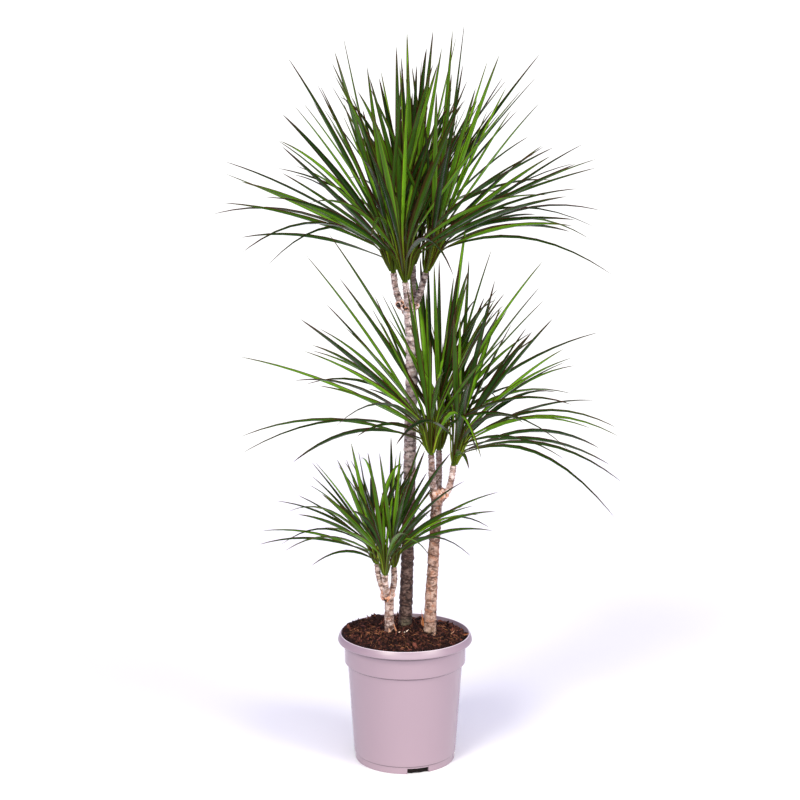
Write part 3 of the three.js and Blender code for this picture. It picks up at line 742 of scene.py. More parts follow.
def scar_faces(along, around, radius, draw):
    """Share of the pale, slightly raised faces of the scars: ovals on a closer spiral, each
    exp(-((angle away / half width)^2 + (height away / half height)^2)^2)."""
    face = np.zeros_like(along)
    girth = float(radius.mean())
    for n in range(-1, int(along.max() / (FACE_SPACING * girth)) + 2):
        away = (around - GOLDEN_TURN * n + math.pi) % (2 * math.pi) - math.pi
        level = (n + 0.3 * draw.uniform(-1, 1)) * FACE_SPACING * girth
        size = (away / draw.uniform(0.6, 1.0)) ** 2
        size = size + ((along - level) / (draw.uniform(0.4, 0.7) * girth)) ** 2
        face = np.maximum(face, draw.uniform(0.4, 1.0) * np.exp(-(size**2)))
    return face


# %% Grow a stem
KNOB_LENGTH = 26 * MM             # over which the trunk turns into callus
RING_DEPTH = 1.05 * MM
PIT_DEPTH = 0.42 * MM
SCAR_DEPTH = 0.3 * MM
SWAY = 0.6 * MM                   # slow ins and outs of the girth
KNOB_DEPTH = 2.0 * MM
RINGS_FADE = 0.6                  # share of the rings that is lost on the callus
LUMP_DEPTH = 0.28                 # of a lump's own size


def stem_part(rows, sides, spacing, width, seed, knob_at, branch, dim=0.0):
    """Rings of points along a path: centre + radius*(cos a * across + sin a * other), where the
    radius dips at the rings, swells above them, is pitted by fine furrows, and is lumpy near
    `knob_at` along the stem. Each relief is also kept as a value of the points, for the bark."""
    draw = np.random.default_rng(seed)
    stops, path = smooth_path(rows, RING_STEP)
    across, other = tube_frame(path)
    angle = np.linspace(0, 2 * math.pi, sides, endpoint=False)
    ring = np.cos(angle)[:, None] * across[:, None] + np.sin(angle)[:, None] * other[:, None]
    plain = path[:, None, :3] + ring * path[:, None, 3:]
    along = np.broadcast_to(stops[:, None], plain.shape[:2])
    around = np.broadcast_to(angle, plain.shape[:2])
    wavy = along + 1.6 * MM * cloudy(plain, 9 * MM, seed)
    groove, swelling = growth_rings(wavy, around, spacing, width, draw)
    crescent = leaf_scars(wavy, around, path[:, 3:], draw)
    face = scar_faces(wavy, around, path[:, 3:], draw)
    knob = np.exp(-(((along - knob_at) / KNOB_LENGTH) * 2.2) ** 2)
    pits = 0.5 * cloudy(plain * [1, 1, 0.3], 2.6 * MM, seed + 40) + 0.8 * rough(plain, 6 * MM, seed + 50)
    relief = RING_DEPTH * (0.75 * swelling - groove) * (1 - RINGS_FADE * knob) + PIT_DEPTH * pits
    relief += SCAR_DEPTH * (crescent - np.roll(crescent, 1, axis=0) + face - 0.4)
    relief += SWAY * cloudy(plain, 22 * MM, seed + 20)
    relief += KNOB_DEPTH * knob * rough(plain, 7 * MM, seed + 60)
    points = plain + ring * relief[..., None]
    inward = 0.4 * (path[1, :3] - path[0, :3])
    poles = path[0, :3] - inward, path[-1, :3] + 1.2 * MM * (path[-1, :3] - path[-2, :3]) / RING_STEP
    # the first value holds the rings' grooves, less the scars' faces, which the bark darkens as painted
    # shade
    values = {"scar": groove * (1 - 0.6 * face), "crescent": crescent, "face": face, "knob": knob,
              "pits": pits, "branch": branch + 0 * pits, "dim": dim + 0 * pits}
    for key, field in values.items():
        values[key] = np.concatenate([field.ravel(), field[0, :1], field[-1, :1]])
    return skin_points(points, *poles), *skin_faces(*points.shape[:2]), values


def callus_part(row, seed):
    """A lump: a ball stretched to its half-sizes, each point moved in or out by a cloudy field."""
    ball, quads, triangles = unit_lump(17, 28)
    size = np.array(row[3:]) * MM
    field = rough(ball * size + np.array(row[:3]) * MM, 5 * MM, seed)
    points = np.array(row[:3]) * MM + ball * size * (1 + LUMP_DEPTH * field[:, None])
    values = {key: 0 * field for key in ("scar", "crescent", "face", "knob", "pits", "branch", "dim")}
    values.update(knob=1 + 0 * field, pits=field)
    return points, quads, triangles, values


def cane_parts(cane):
    """The trunk, then its branches, which start inside the knob, and the knob's lumps."""
    trunk_length = (cane["trunk"][-1][2] - cane["trunk"][0][2]) * MM
    knob_at = trunk_length - 5 * MM
    spacing, width, seed = cane["ring_spacing"] * MM, cane["ring_width"] * MM, cane["seed"]
    parts = [stem_part(cane["trunk"], TRUNK_SIDES, spacing, width, seed, knob_at, 0)]
    for k, (side, rows) in enumerate(cane["branches"].items()):
        parts.append(stem_part(rows, BRANCH_SIDES, BRANCH_RINGS, BRANCH_RING_WIDTH, seed + 11 * (k + 1),
                               0, 1, cane["dim"].get(side, 0.0)))
    for k, row in enumerate(cane["lumps"]):
        parts.append(callus_part(row, seed + 7 * k))
    return parts


# %% [markdown]
# All three canes wear the same kind of bark, in different colors: the tall one is dark and weathered
# low down, the middle one dark below its knob, and the branches are young and pale. The bark is
# therefore one node group with the colors as its inputs. The main color changes at one height, and
# rusty flushes lie over it. The scars' faces and other raised spots are pale, the raised parts of the
# callus lumps are paled as a painted highlight, and the pits are dark. Painted shade darkens the rings'
# grooves, the crevices of the callus and the branches in shade. The edges of the scars are thin pale
# lines, the callus is orange-brown, and algae tint the foot.

# %% Bark node group
BARK_COLORS = ("Low Color", "High Color", "Low Patch", "High Patch", "Branch Color", "Branch Patch",
               "Dark Color", "Flush Color", "Callus Color", "Algae Color")
BARK_NUMBERS = ("Change Height", "Change Length", "Darkness", "Flush Share", "Algae Height")
BARK_OUTPUTS = {"Color": "NodeSocketColor", "Roughness": "NodeSocketFloat", "Height": "NodeSocketFloat"}


def make_bark_group():
    """Layers of color from the ground up: main color, rusty flushes, callus, pale raised spots, a painted
    highlight on the callus lumps, painted shade on shaded branches, algae, dark pits with painted shade
    in the callus crevices, painted shade in the rings' grooves and last the scars' pale edges. Each mask
    is a noise or a point's value."""
    group = bpy.data.node_groups.new("scarred bark", "ShaderNodeTree")
    for name in BARK_COLORS:
        group.interface.new_socket(name, in_out="INPUT", socket_type="NodeSocketColor")
    for name in BARK_NUMBERS:
        group.interface.new_socket(name, in_out="INPUT", socket_type="NodeSocketFloat")
    for name, kind in BARK_OUTPUTS.items():
        group.interface.new_socket(name, in_out="OUTPUT", socket_type=kind)
    given = group.nodes.new("NodeGroupInput").outputs
    where = object_place(group)
    height = add_node(group, "ShaderNodeSeparateXYZ", {0: where}).outputs["Z"]
    broken = times(group, calc(group, "SUBTRACT", noise(group, where, 24.0), 0.5), 0.16)
    rise = calc(group, "SUBTRACT", calc(group, "ADD", height, broken), given["Change Height"])
    share = calc(group, "DIVIDE", rise, given["Change Length"], clamp=True)
    branch, knob, pits, face = (point_value(group, name) for name in ("branch", "knob", "pits", "face"))
    patch_color = blend(group, share, given["Low Patch"], given["High Patch"])
    patch_color = blend(group, branch, patch_color, given["Branch Patch"])
    color = blend(group, share, given["Low Color"], given["High Color"])
    color = blend(group, branch, color, given["Branch Color"])
    rusty = between(group, noise(group, where, 90.0, 4.0, 0.65), 0.46, 0.64)
    color = blend(group, times(group, rusty, given["Flush Share"]), color, given["Flush Color"])
    color = blend(group, times(group, knob, 0.9), color, given["Callus Color"])
    patches = noise(group, stretched(group, where, (1, 1, 1.4)), 165.0, 4.0, 0.62)
    raised = calc(group, "ADD", times(group, pits, 0.1), patches)
    pale = times(group, between(group, raised, 0.48, 0.6), 0.75)
    flat = times(group, face, between(group, patches, 0.34, 0.5, 0.35, 1.0))
    color = blend(group, calc(group, "MAXIMUM", pale, flat), color, patch_color)
    # painted highlight: the raised parts of the callus lumps are paled
    lump = times(group, between(group, pits, 0.15, 0.6), times(group, knob, 0.55))
    color = blend(group, lump, color, given["Branch Patch"])
    dimmed = times(group, point_value(group, "dim"), 0.62)
    color = blend(group, dimmed, color, given["Dark Color"])
    mossy = between(group, calc(group, "SUBTRACT", height, given["Algae Height"]), -0.035, 0.0, 0.7, 0.0)
    mossy = times(group, mossy, between(group, noise(group, where, 55.0, 3.0), 0.42, 0.56))
    color = blend(group, mossy, color, given["Algae Color"])
    blotches = noise(group, stretched(group, where, (1, 1, 2.6)), 105.0, 4.0, 0.64)
    blotches = calc(group, "ADD", times(group, pits, 0.12), blotches)
    grain = noise(group, stretched(group, where, (1, 1, 0.35)), 480.0, 4.0, 0.75)
    dark = calc(group, "MAXIMUM", between(group, blotches, 0.4, 0.47, 1.0, 0.0),
                between(group, grain, 0.3, 0.46, 0.5, 0.0))
    # painted shade: the crevices of the callus, where its relief is lowest, are darkened
    crevice_shade = times(group, between(group, pits, -0.3, 0.06, 1.0, 0.0), times(group, knob, 1.5))
    dark = calc(group, "MAXIMUM", dark, crevice_shade)
    color = blend(group, times(group, dark, given["Darkness"]), color, given["Dark Color"])
    # painted shade: the grooves of the growth rings are darkened
    scar = times(group, point_value(group, "scar"), between(group, patches, 0.35, 0.6, 1.0, 0.6))
    color = blend(group, scar, color, given["Dark Color"])
    crescent = times(group, point_value(group, "crescent"), between(group, patches, 0.38, 0.6, 0.3, 0.9))
    color = blend(group, crescent, color, patch_color)
    result = group.nodes.new("NodeGroupOutput").inputs
    group.links.new(color, result["Color"])
    group.links.new(between(group, grain, 0.3, 0.7, 0.9, 0.6), result["Roughness"])
    group.links.new(grain, result["Height"])
    return group


BARK_GROUP = make_bark_group()

# %% Bark colors of the three canes
BARKS = {
    "tall": {
        "Low Color": (0.045, 0.024, 0.018, 1), "High Color": (0.64, 0.47, 0.43, 1),
        "Low Patch": (0.2, 0.125, 0.1, 1), "High Patch": (0.97, 0.87, 0.84, 1),
        "Branch Color": (0.33, 0.22, 0.19, 1), "Branch Patch": (0.85, 0.72, 0.67, 1),
        "Dark Color": (0.016, 0.008, 0.006, 1),
        "Flush Color": (0.3, 0.13, 0.08, 1), "Callus Color": (0.7, 0.3, 0.14, 1),
        "Algae Color": (0.12, 0.125, 0.07, 1), "Change Height": 0.42, "Change Length": 0.33,
        "Darkness": 0.75, "Flush Share": 0.2, "Algae Height": 0.265,
    },
    "middle": {
        "Low Color": (0.2, 0.107, 0.073, 1), "High Color": (0.075, 0.036, 0.027, 1),
        "Low Patch": (0.48, 0.33, 0.26, 1), "High Patch": (0.4, 0.29, 0.25, 1),
        "Branch Color": (0.34, 0.22, 0.18, 1), "Branch Patch": (0.85, 0.7, 0.65, 1),
        "Dark Color": (0.035, 0.014, 0.01, 1),
        "Flush Color": (0.44, 0.19, 0.1, 1), "Callus Color": (0.7, 0.3, 0.15, 1),
        "Algae Color": (0.24, 0.22, 0.12, 1), "Change Height": 0.37, "Change Length": 0.09,
        "Darkness": 0.62, "Flush Share": 0.5, "Algae Height": 0.255,
    },
    "short": {
        "Low Color": (0.19, 0.11, 0.085, 1), "High Color": (0.3, 0.165, 0.12, 1),
        "Low Patch": (0.54, 0.42, 0.37, 1), "High Patch": (0.72, 0.57, 0.51, 1),
        "Branch Color": (0.32, 0.21, 0.16, 1), "Branch Patch": (0.7, 0.56, 0.5, 1),
        "Dark Color": (0.04, 0.017, 0.012, 1),
        "Flush Color": (0.42, 0.16, 0.08, 1), "Callus Color": (0.62, 0.26, 0.13, 1),
        "Algae Color": (0.24, 0.2, 0.11, 1), "Change Height": 0.28, "Change Length": 0.03,
        "Darkness": 0.8, "Flush Share": 0.4, "Algae Height": 0.24,
    },
}


def bark_finish(name):
    """The bark group with one cane's colors and numbers."""
    material, tree, shader = new_finish(f"bark of the {name} cane")
    group = tree.nodes.new("ShaderNodeGroup")
    group.node_tree = BARK_GROUP
    for key, value in BARKS[name].items():
        group.inputs[key].default_value = value
    tree.links.new(group.outputs["Color"], shader.inputs["Base Color"])
    tree.links.new(group.outputs["Roughness"], shader.inputs["Roughness"])
    shader.inputs["Specular IOR Level"].default_value = 0.3
    bump(tree, shader, group.outputs["Height"], 0.001, 0.9)
    return material


# %% Make the canes
for name, cane in CANES.items():
    trunk, *others = cane_parts(cane)
    piece = make_piece(f"{name}_cane", trunk, bark_finish(name), crease=60)
    for part in others:
        apply_boolean(piece, bare_object("growth", part), "UNION")
    piece.data.shade_smooth()
    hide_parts(f"cane_{name}")
    print(f"{name}_cane joined:", len(piece.data.polygons), "faces")

# %% [markdown]
# ## The soil
# The pot is filled with a coarse mix of bark and peat. It isn't level: it is heaped in the middle
# and at the left, and sinks at the back right, where the pot's wall shows. The body of it is a
# clodded surface that meets the wall. Loose chips, crumbs and root fibres lie on that surface as
# small shapes of their own, because what makes soil read as soil is its shadows between lumps.

# %% Soil surface
SOIL = {"level": 227.5, "heap": 8.5, "lean": 2.5, "dip": 8, "clods": 0.9}
SOIL = {key: value * MM for key, value in SOIL.items()}
LEAN_ANGLE = math.radians(190)
DIP_ANGLE = math.radians(62)
SOIL_COLUMNS = 200
SOIL_RINGS = 84
MID_WALL = 90 * MM                # a ring of the soil's side, between the floor and the collar
HOLE_TOP = 300 * MM               # well above the soil
HOLE_SIDES = 40
HOLE_GAP = 0.5 * MM               # between the soil and a cane
LUMP_SIZE, LUMP_HEIGHT = 14 * MM, 2.3 * MM
CRUMB_SIZE, CRUMB_HEIGHT = 4 * MM, 1.1 * MM


def soil_height(x, y):
    """The frame's rule: a heap in the middle, higher at the left, a dip at the back right, clods."""
    share = np.hypot(x, y) / POT["flare_radius"]
    angle = np.arctan2(y, x)
    heap = SOIL["heap"] * (1 - share**2)
    lean = SOIL["lean"] * share**2 * np.cos(angle - LEAN_ANGLE)
    dip = SOIL["dip"] * share**3 * np.maximum(0, np.cos(angle - DIP_ANGLE)) ** 3
    clods = np.sin(x / MM * 0.19 + 1.3) * np.sin(y / MM * 0.23 + 0.4)
    clods = clods + 0.6 * np.sin(x / MM * 0.41 - y / MM * 0.31)
    return SOIL["level"] + heap + lean - dip + SOIL["clods"] * clods


def crumbly_height(x, y):
    """The rule above with a cloudy field of lumps and a finer one of crumbs on it."""
    flat = np.stack([x, y, 0 * x], -1)
    lumps = LUMP_HEIGHT * rough(flat, LUMP_SIZE, 71, 3)
    return soil_height(x, y) + lumps + CRUMB_HEIGHT * rough(flat, CRUMB_SIZE, 81, 2)


def soil_part():
    """Rings up the wall, then rings that shrink to the middle of the surface."""
    angles = np.linspace(0, 2 * math.pi, SOIL_COLUMNS, endpoint=False)
    levels = np.array([POT["floor_top"], MID_WALL, POT["collar_bottom"] - 5 * MM,
                       POT["collar_bottom"] + 2 * MM, POT["flare_bottom"]])
    radii = np.minimum(inner_radius(levels), inner_radius(levels - 5 * MM)) - FIT_GAP
    wall = turned(np.stack([radii, levels + FIT_GAP], 1), angles)
    far = POT["flare_radius"] * np.stack([np.cos(angles), np.sin(angles)])
    edge = inner_radius(crumbly_height(*far)) - 2 * FIT_GAP
    share = np.linspace(1, 0, SOIL_RINGS, endpoint=False)[:, None]
    x, y = share * edge * np.cos(angles), share * edge * np.sin(angles)
    top = np.stack([x, y, crumbly_height(x, y)], -1)
    stack = np.concatenate([wall, top])
    zero = np.zeros(1)
    poles = (0, 0, levels[0] + FIT_GAP), (0, 0, float(crumbly_height(zero, zero)[0]))
    return skin_points(stack, *poles), *skin_faces(*stack.shape[:2]), {}


def cane_hole_cutter():
    """An upright cylinder for each cane's foot, a little wider than the cane."""
    parts = []
    for cane in CANES.values():
        x, y, z, radius = np.array(cane["trunk"][0]) * MM
        radius = max(radius, cane["trunk"][1][3] * MM) + HOLE_GAP
        low, high = np.array([x, y, z - 2 * MM]), np.array([x, y, HOLE_TOP])
        parts.append(upright_cylinder(low, high, radius, HOLE_SIDES))
    return bare_object("cutter", joined(parts))


# %% [markdown]
# Peat is dark and dull, with fine flecks of fresh bark in it. The body of the soil drifts between two
# browns. The loose pieces carry a tint of their own, from almost black to the orange of fresh bark,
# so that neighbours differ as they do in a real mix.

# %% Soil finishes
PEAT_DARK = (0.01, 0.0025, 0.0019, 1)
PEAT_LIGHT = (0.032, 0.0098, 0.0072, 1)
PEAT_FLECK = (0.13, 0.043, 0.027, 1)
# near-black color of the plugs behind the notches: painted shade
NOTCH_SHADE_COLOR = (0.003, 0.001, 0.0008, 1)
CHIP_LIGHT = (0.19, 0.058, 0.038, 1)
FIBRE_DARK = (0.02, 0.008, 0.005, 1)
FIBRE_LIGHT = (0.42, 0.17, 0.075, 1)
SPLINTER_DARK = (0.45, 0.15, 0.05, 1)
SPLINTER_LIGHT = (0.9, 0.74, 0.58, 1)
FLECK_SCALE = 520.0
FLECK_HEIGHT = 0.9 * MM


def soil_finish(name, dark, light, tint_from_points):
    """Peat between two colors, mixed by a slow noise or by each point's own tint."""
    material, tree, shader = new_finish(name)
    where = object_place(tree)
    flecks = noise(tree, where, FLECK_SCALE, 4.0, 0.7)
    if tint_from_points:
        share = point_value(tree, "tint")
    else:
        share = between(tree, noise(tree, where, 70.0, 3.0, 0.6), 0.35, 0.7)
    color = blend(tree, share, dark, light)
    color = blend(tree, between(tree, flecks, 0.55, 0.8, 0.0, 0.3), color, PEAT_FLECK)
    tree.links.new(color, shader.inputs["Base Color"])
    tree.links.new(between(tree, flecks, 0.3, 0.7, 0.95, 0.7), shader.inputs["Roughness"])
    shader.inputs["Specular IOR Level"].default_value = 0.2
    bump(tree, shader, flecks, FLECK_HEIGHT, 1.0)
    return material


# %% Make the soil
peat = soil_finish("peat", PEAT_DARK, PEAT_LIGHT, False)
soil = make_piece("soil_body", soil_part(), peat, crease=80)
apply_boolean(soil, cane_hole_cutter(), "DIFFERENCE")
soil.data.shade_smooth()
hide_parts("soil")

# %% [markdown]
# A chip of bark is a small lump with flats and corners. One ball of three rings is stretched, turned
# and dented differently for each chip, all at once: the arrays hold every chip's points together.
# There are hundreds, so each has only a few dozen faces. A few lumps have places of their own: the
# heap stands above the rim at the left and behind, and two chips lean on the rim at the right.

# %% Scatter on the soil
# For each kind: how many, then ranges of the half-length in mm, of the half-width as a share of the
# half-length, and of the half-height in mm, and last the usual tilt in radians.
LOOSE_KINDS = {
    "plates": (420, (4.5, 9.5), (0.25, 0.5), (0.8, 1.5), 0.55),
    "chips": (1300, (2.2, 5.5), (0.18, 0.45), (0.5, 1.3), 0.6),
    "crumbs": (1900, (0.8, 2.6), (0.3, 0.9), (0.5, 1.5), 1.0),
}
SPREAD = 110.5 * MM               # how far out loose pieces lie
FOOT_CLEARANCE = 1.2 * MM         # between a loose piece's middle and a cane
CLODS = np.array([                # x, y, then half-length, half-width and half-height, in millimetres
    [-99.5, 26, 8, 7, 6], [-104, 14, 6, 5, 4], [-93, 38, 7, 5, 5], [-46, 65, 11, 8, 6],
    [-34, 72, 8, 7, 4], [-60, 60, 7, 6, 4.5], [-22, 34, 8, 6, 5], [108, -13, 8, 3.2, 1.6],
    [110, 4, 7, 3, 1.8], [30, 40, 6, 5, 4],
])


def scattered_places(count, draw, spread=SPREAD):
    """Even spread over a disc: radius = spread * sqrt(u), angle = 2 pi v. Places under a cane are
    dropped."""
    radius = spread * np.sqrt(draw.uniform(0, 1, count))
    angle = draw.uniform(0, 2 * math.pi, count)
    x, y = radius * np.cos(angle), radius * np.sin(angle)
    feet = np.array([cane["trunk"][1] for cane in CANES.values()]) * MM
    away = np.hypot(x[:, None] - feet[:, 0], y[:, None] - feet[:, 1]) - feet[:, 3]
    keep = away.min(axis=1) > FOOT_CLEARANCE
    return x[keep], y[keep]


def turns(yaw, pitch, roll):
    """Rotation matrices from yaw about Z, then pitch about Y, then roll about X, one for each piece."""
    cy, sy, cp, sp, cr, sr = (f(a) for a in (yaw, pitch, roll) for f in (np.cos, np.sin))
    rows = [[cy * cp, cy * sp * sr - sy * cr, cy * sp * cr + sy * sr],
            [sy * cp, sy * sp * sr + cy * cr, sy * sp * cr - cy * sr],
            [-sp, cp * sr, cp * cr]]
    return np.stack([np.stack(row, -1) for row in rows], -2)


def scattered_lumps(x, y, size, lift, tint, draw, tilt, jagged):
    """A dented lump at each place, with half-sizes `size`, lying on the soil."""
    ball, quads, triangles = unit_lump(3, 6)
    count, stride = len(x), len(ball)
    dents = 1 + jagged * draw.uniform(-1, 1, (count, stride, 1))
    yaw = draw.uniform(0, 2 * math.pi, count)
    spin = turns(yaw, tilt * draw.normal(0, 1, count), tilt * draw.normal(0, 1, count))
    points = np.einsum("nij,npj->npi", spin, ball * dents * size[:, None])
    points += np.stack([x, y, crumbly_height(x, y) + lift * size[:, 2]], -1)[:, None]
    values = {"tint": np.repeat(tint, stride)}
    return points.reshape(-1, 3), many(quads, count, stride), many(triangles, count, stride), values


def chip_part():
    """Plates, chips and crumbs at random, then the clods."""
    draw = np.random.default_rng(21)
    parts = []
    for number, longs, widths, thicks, tilt in LOOSE_KINDS.values():
        x, y = scattered_places(number, draw, SPREAD - longs[1] * 0.5 * MM)
        count = len(x)
        long = draw.uniform(*longs, count)
        wide = long * draw.uniform(*widths, count)
        size = np.stack([long, wide, draw.uniform(*thicks, count)], -1) * MM
        tint = draw.uniform(0, 1, count) ** 4
        parts.append(scattered_lumps(x, y, size, 1.0, tint, draw, tilt, 0.3))
    x, y = CLODS[:, 0] * MM, CLODS[:, 1] * MM
    tint = draw.uniform(0, 0.12, len(CLODS))
    parts.append(scattered_lumps(x, y, CLODS[:, 2:] * MM, 0.7, tint, draw, 0.12, 0.25))
    return joined(parts)


# %% Fibres on the soil
FIBRE_COUNT = 420
FIBRE_STEPS = 7
FIBRE_LENGTHS = (5, 20)           # in millimetres
FIBRE_RADII = (0.25, 0.65)
FIBRE_HOPS = (0.6, 3.2)           # how high the middle of a fibre stands off the soil
FIBRE_CURL = 0.11                 # spread of the turn from one point to the next, in radians
FIBRE_LIFT = 1.2 * MM             # of its ends above the soil


def strands(path, girth, sides, tint):
    """Thin tubes, one for each path of the array: ring = centre + girth*(cos a * side + sin a * top),
    where side = up x along and top = along x side, and a point closes each end."""
    count, steps = path.shape[:2]
    along = unit_rows(np.gradient(path, axis=1))
    side = unit_rows(np.cross(UP + [0.01, 0, 0], along))
    top = np.cross(along, side)
    turn = np.linspace(0, 2 * math.pi, sides, endpoint=False)
    ring = np.cos(turn)[:, None] * side[..., None, :] + np.sin(turn)[:, None] * top[..., None, :]
    points = path[..., None, :] + ring * girth[..., None, None]
    first = path[:, 0] - along[:, 0] * girth[:, :1]
    last = path[:, -1] + along[:, -1] * girth[:, -1:]
    points = np.concatenate([points.reshape(count, -1, 3), np.stack([first, last], 1)], 1)
    stride = points.shape[1]
    quads, triangles = skin_faces(steps, sides)
    values = {"tint": np.repeat(tint, stride)}
    return points.reshape(-1, 3), many(quads, count, stride), many(triangles, count, stride), values


def fibre_part():
    """Fine roots and bark strands: thin four-sided tubes along an arc that lies on the soil. Point k
    of a strand is at angle yaw + curl*k, and its ends are drawn out thin."""
    draw = np.random.default_rng(34)
    x, y = scattered_places(FIBRE_COUNT, draw, SPREAD - 6 * MM)
    count, steps = len(x), FIBRE_STEPS
    length = draw.uniform(*FIBRE_LENGTHS, count) * MM
    curl = draw.normal(0, FIBRE_CURL, count)
    share = np.arange(steps)
    angle = draw.uniform(0, 2 * math.pi, count)[:, None] + curl[:, None] * (share - steps / 2)
    step, back = (length / (steps - 1))[:, None], 0.5 * length[:, None]
    middle = angle[:, steps // 2:steps // 2 + 1]
    px = x[:, None] + np.cumsum(step * np.cos(angle), axis=1) - back * np.cos(middle)
    py = y[:, None] + np.cumsum(step * np.sin(angle), axis=1) - back * np.sin(middle)
    shrink = np.minimum(1, SPREAD / np.hypot(px, py))
    px, py = px * shrink, py * shrink
    hop = draw.uniform(*FIBRE_HOPS, (count, 1)) * MM * np.sin(math.pi * share / (steps - 1))
    path = np.stack([px, py, crumbly_height(px, py) + FIBRE_LIFT + hop], -1)
    thin = np.sqrt(np.sin(math.pi * (share + 0.5) / steps))
    girth = draw.uniform(*FIBRE_RADII, (count, 1)) * MM * thin
    return strands(path, girth, 4, draw.uniform(0, 1, count) ** 2.2)


# %% [markdown]
# A few splinters catch the eye in the dark soil, so they are listed one by one: the spike of a broken
# root beside the middle cane, a stub beside the short one, and some pale slivers of fresh wood.

# %% Splinters
SPLINTERS = np.array([            # x, y, z of the foot, x, y, z of the tip, radius in mm, then the tint
    [33.5, 20, 231, 29, 22, 267, 1.3, 0.0], [31, 24, 232, 28.5, 26, 247, 1.0, 0.1],
    [-14, -29, 235, -20.5, -28.5, 254, 1.8, 0.12], [-27, -27.5, 236, -29, -25.5, 245, 2.4, 0.3],
    [-1, -38, 241, 6, -28, 243.5, 1.1, 1.0], [-11, -37, 240.5, -8.5, -35, 242, 1.0, 0.7],
    [103, -17, 229, 115.5, -13, 232, 0.7, 0.0],
    [49, -33, 231, 53, -31, 238, 1.8, 0.25], [-60, -20, 234, -52, -38, 235, 0.8, 0.1],
    [-84, -10, 233, -70, -22, 235, 0.8, 0.15], [80, -20, 232, 88, -4, 235, 0.9, 0.2],
    [66, 22, 234, 74, 10, 236, 0.9, 0.1], [-46, -62, 233, -38, -70, 233, 0.9, 0.2],
])


def splinter_part():
    """Pointed slivers: the girth falls as 1 - share^1.6, and the middle is bowed sideways a little."""
    foot, tip = SPLINTERS[:, None, :3] * MM, SPLINTERS[:, None, 3:6] * MM
    share = np.linspace(0, 1, 8)[:, None]
    bow = np.cross(tip - foot, UP) * 0.12 * np.sin(math.pi * share)
    path = foot + (tip - foot) * share + bow
    girth = SPLINTERS[:, 6:7] * MM * (1.08 - share[:, 0] ** 1.6)
    return strands(path, girth, 6, SPLINTERS[:, 7])


loose_bark = soil_finish("bark chips", PEAT_DARK, CHIP_LIGHT, True)
root_fibre = soil_finish("root fibres", FIBRE_DARK, FIBRE_LIGHT, True)
fresh_wood = soil_finish("fresh wood", SPLINTER_DARK, SPLINTER_LIGHT, True)
make_piece("bark_chips", chip_part(), loose_bark, crease=20)
make_piece("soil_fibres", fibre_part(), root_fibre)
make_piece("wood_splinters", splinter_part(), fresh_wood)

# %% [markdown]
# Behind each of the three notches of the foot ring stands a near-black plug, put there as painted
# shade so that the notches look black. Each plug is a rounded bar bent along the ring.

# %% Painted shade in the notches
PLUG_GAP = 0.4 * MM
PLUG_DEPTHS = (14 * MM, 1.6 * MM)      # inwards from the foot ring's face, its back and its front
PLUG_LEVELS = (0.3 * MM, POT["notch_height"] - 0.5 * MM)
PLUG_ROUGHNESS = 0.5 * MM
PLUG_STATIONS = 22
PLUG_SIDES = 16


def softened(wave):
    """|wave|^0.4 with the wave's sign, which turns a circle into a square with soft corners."""
    return np.sign(wave) * np.abs(wave) ** 0.4


def notch_plug_part():
    """Sections along the notch: a softened square in height and in radius. A cloudy field roughens
    it, and its ends close on pole points."""
    half = math.asin((POT["notch_width"] / 2 - PLUG_GAP) / POT["foot_radius"])
    back, front = (POT["foot_radius"] - depth for depth in PLUG_DEPTHS)
    low, high = PLUG_LEVELS
    turn = np.linspace(0, 2 * math.pi, PLUG_SIDES, endpoint=False)
    parts = []
    for middle in NOTCH_ANGLES:
        angle = middle + np.linspace(-half, half, PLUG_STATIONS)[:, None]
        height = (low + high) / 2 + (high - low) / 2 * softened(np.cos(turn)) + 0 * angle
        radius = (back + front) / 2 + (front - back) / 2 * softened(np.sin(turn)) + 0 * angle
        stack = np.stack([radius * np.cos(angle), radius * np.sin(angle), height], -1)
        inward = -stack * [1, 1, 0] / radius[..., None]
        stack += inward * (PLUG_ROUGHNESS * (1 + rough(stack, 5 * MM, 91)))[..., None]
        parts.append((skin_points(stack, stack[0].mean(axis=0), stack[-1].mean(axis=0)),
                      *skin_faces(PLUG_STATIONS, PLUG_SIDES), {}))
    return joined(parts)


# the plugs behind the notches are painted shade: near-black bars where there is only shade
notch_shade = soil_finish("notch shade", NOTCH_SHADE_COLOR, NOTCH_SHADE_COLOR, False)
make_piece("shade_in_notches", notch_plug_part(), notch_shade)

# %% [markdown]
# ## The leaves
# Each crown is a spiral of sword-shaped leaves round a slim growing tip. Young leaves stand almost
# upright in the middle, older ones lean out and arch. The frame already holds every large leaf. Its
# rules are repeated here, and each leaf that the frame really grew is recognised by its tip, which
# is a corner of the crown's solid. The finer leaf follows the same centreline.

# %% Crown rows
# A row is one leaf seen in the photograph: its tip to the right of and above the crown's foot, and
# the height of its arch, all in millimetres.
VIEW_POINT = np.array([-9, -2500, 1017]) * MM
SPIRAL = {"start": 50, "steepest": 74, "sweep": 66, "waver": 10, "crowded_rise": 66, "arch": 6, "sag": 46,
          "shortest": 0.86, "side_loss": 0.2}
SIDE_STEPS = np.array([0, 9, -9, 18, -18, 27, -27, 38, -38, 50, -50])
DEPTH_SHARES = [-1, 0.4, -0.75, 0.15, -0.9, 0.55, -0.3, 1, -0.4, 0.75, -0.15, 0.9, -0.55, 0.3]
DEPTH_STEPS = np.array([1, 0.8, -1, 1.2, 0.55, -0.8, 0.3, -0.5, 0, 1.4, -1.3, 1.7, -1.6])
DEPTH_LEAST, DEPTH_MOST = 30 * MM, 300 * MM
LEAF_WIDTH = 14 * MM
ROOT_DEPTH = 0.6                  # how far out from the core's axis a leaf is rooted, as a share
FIRST_SEED = 11
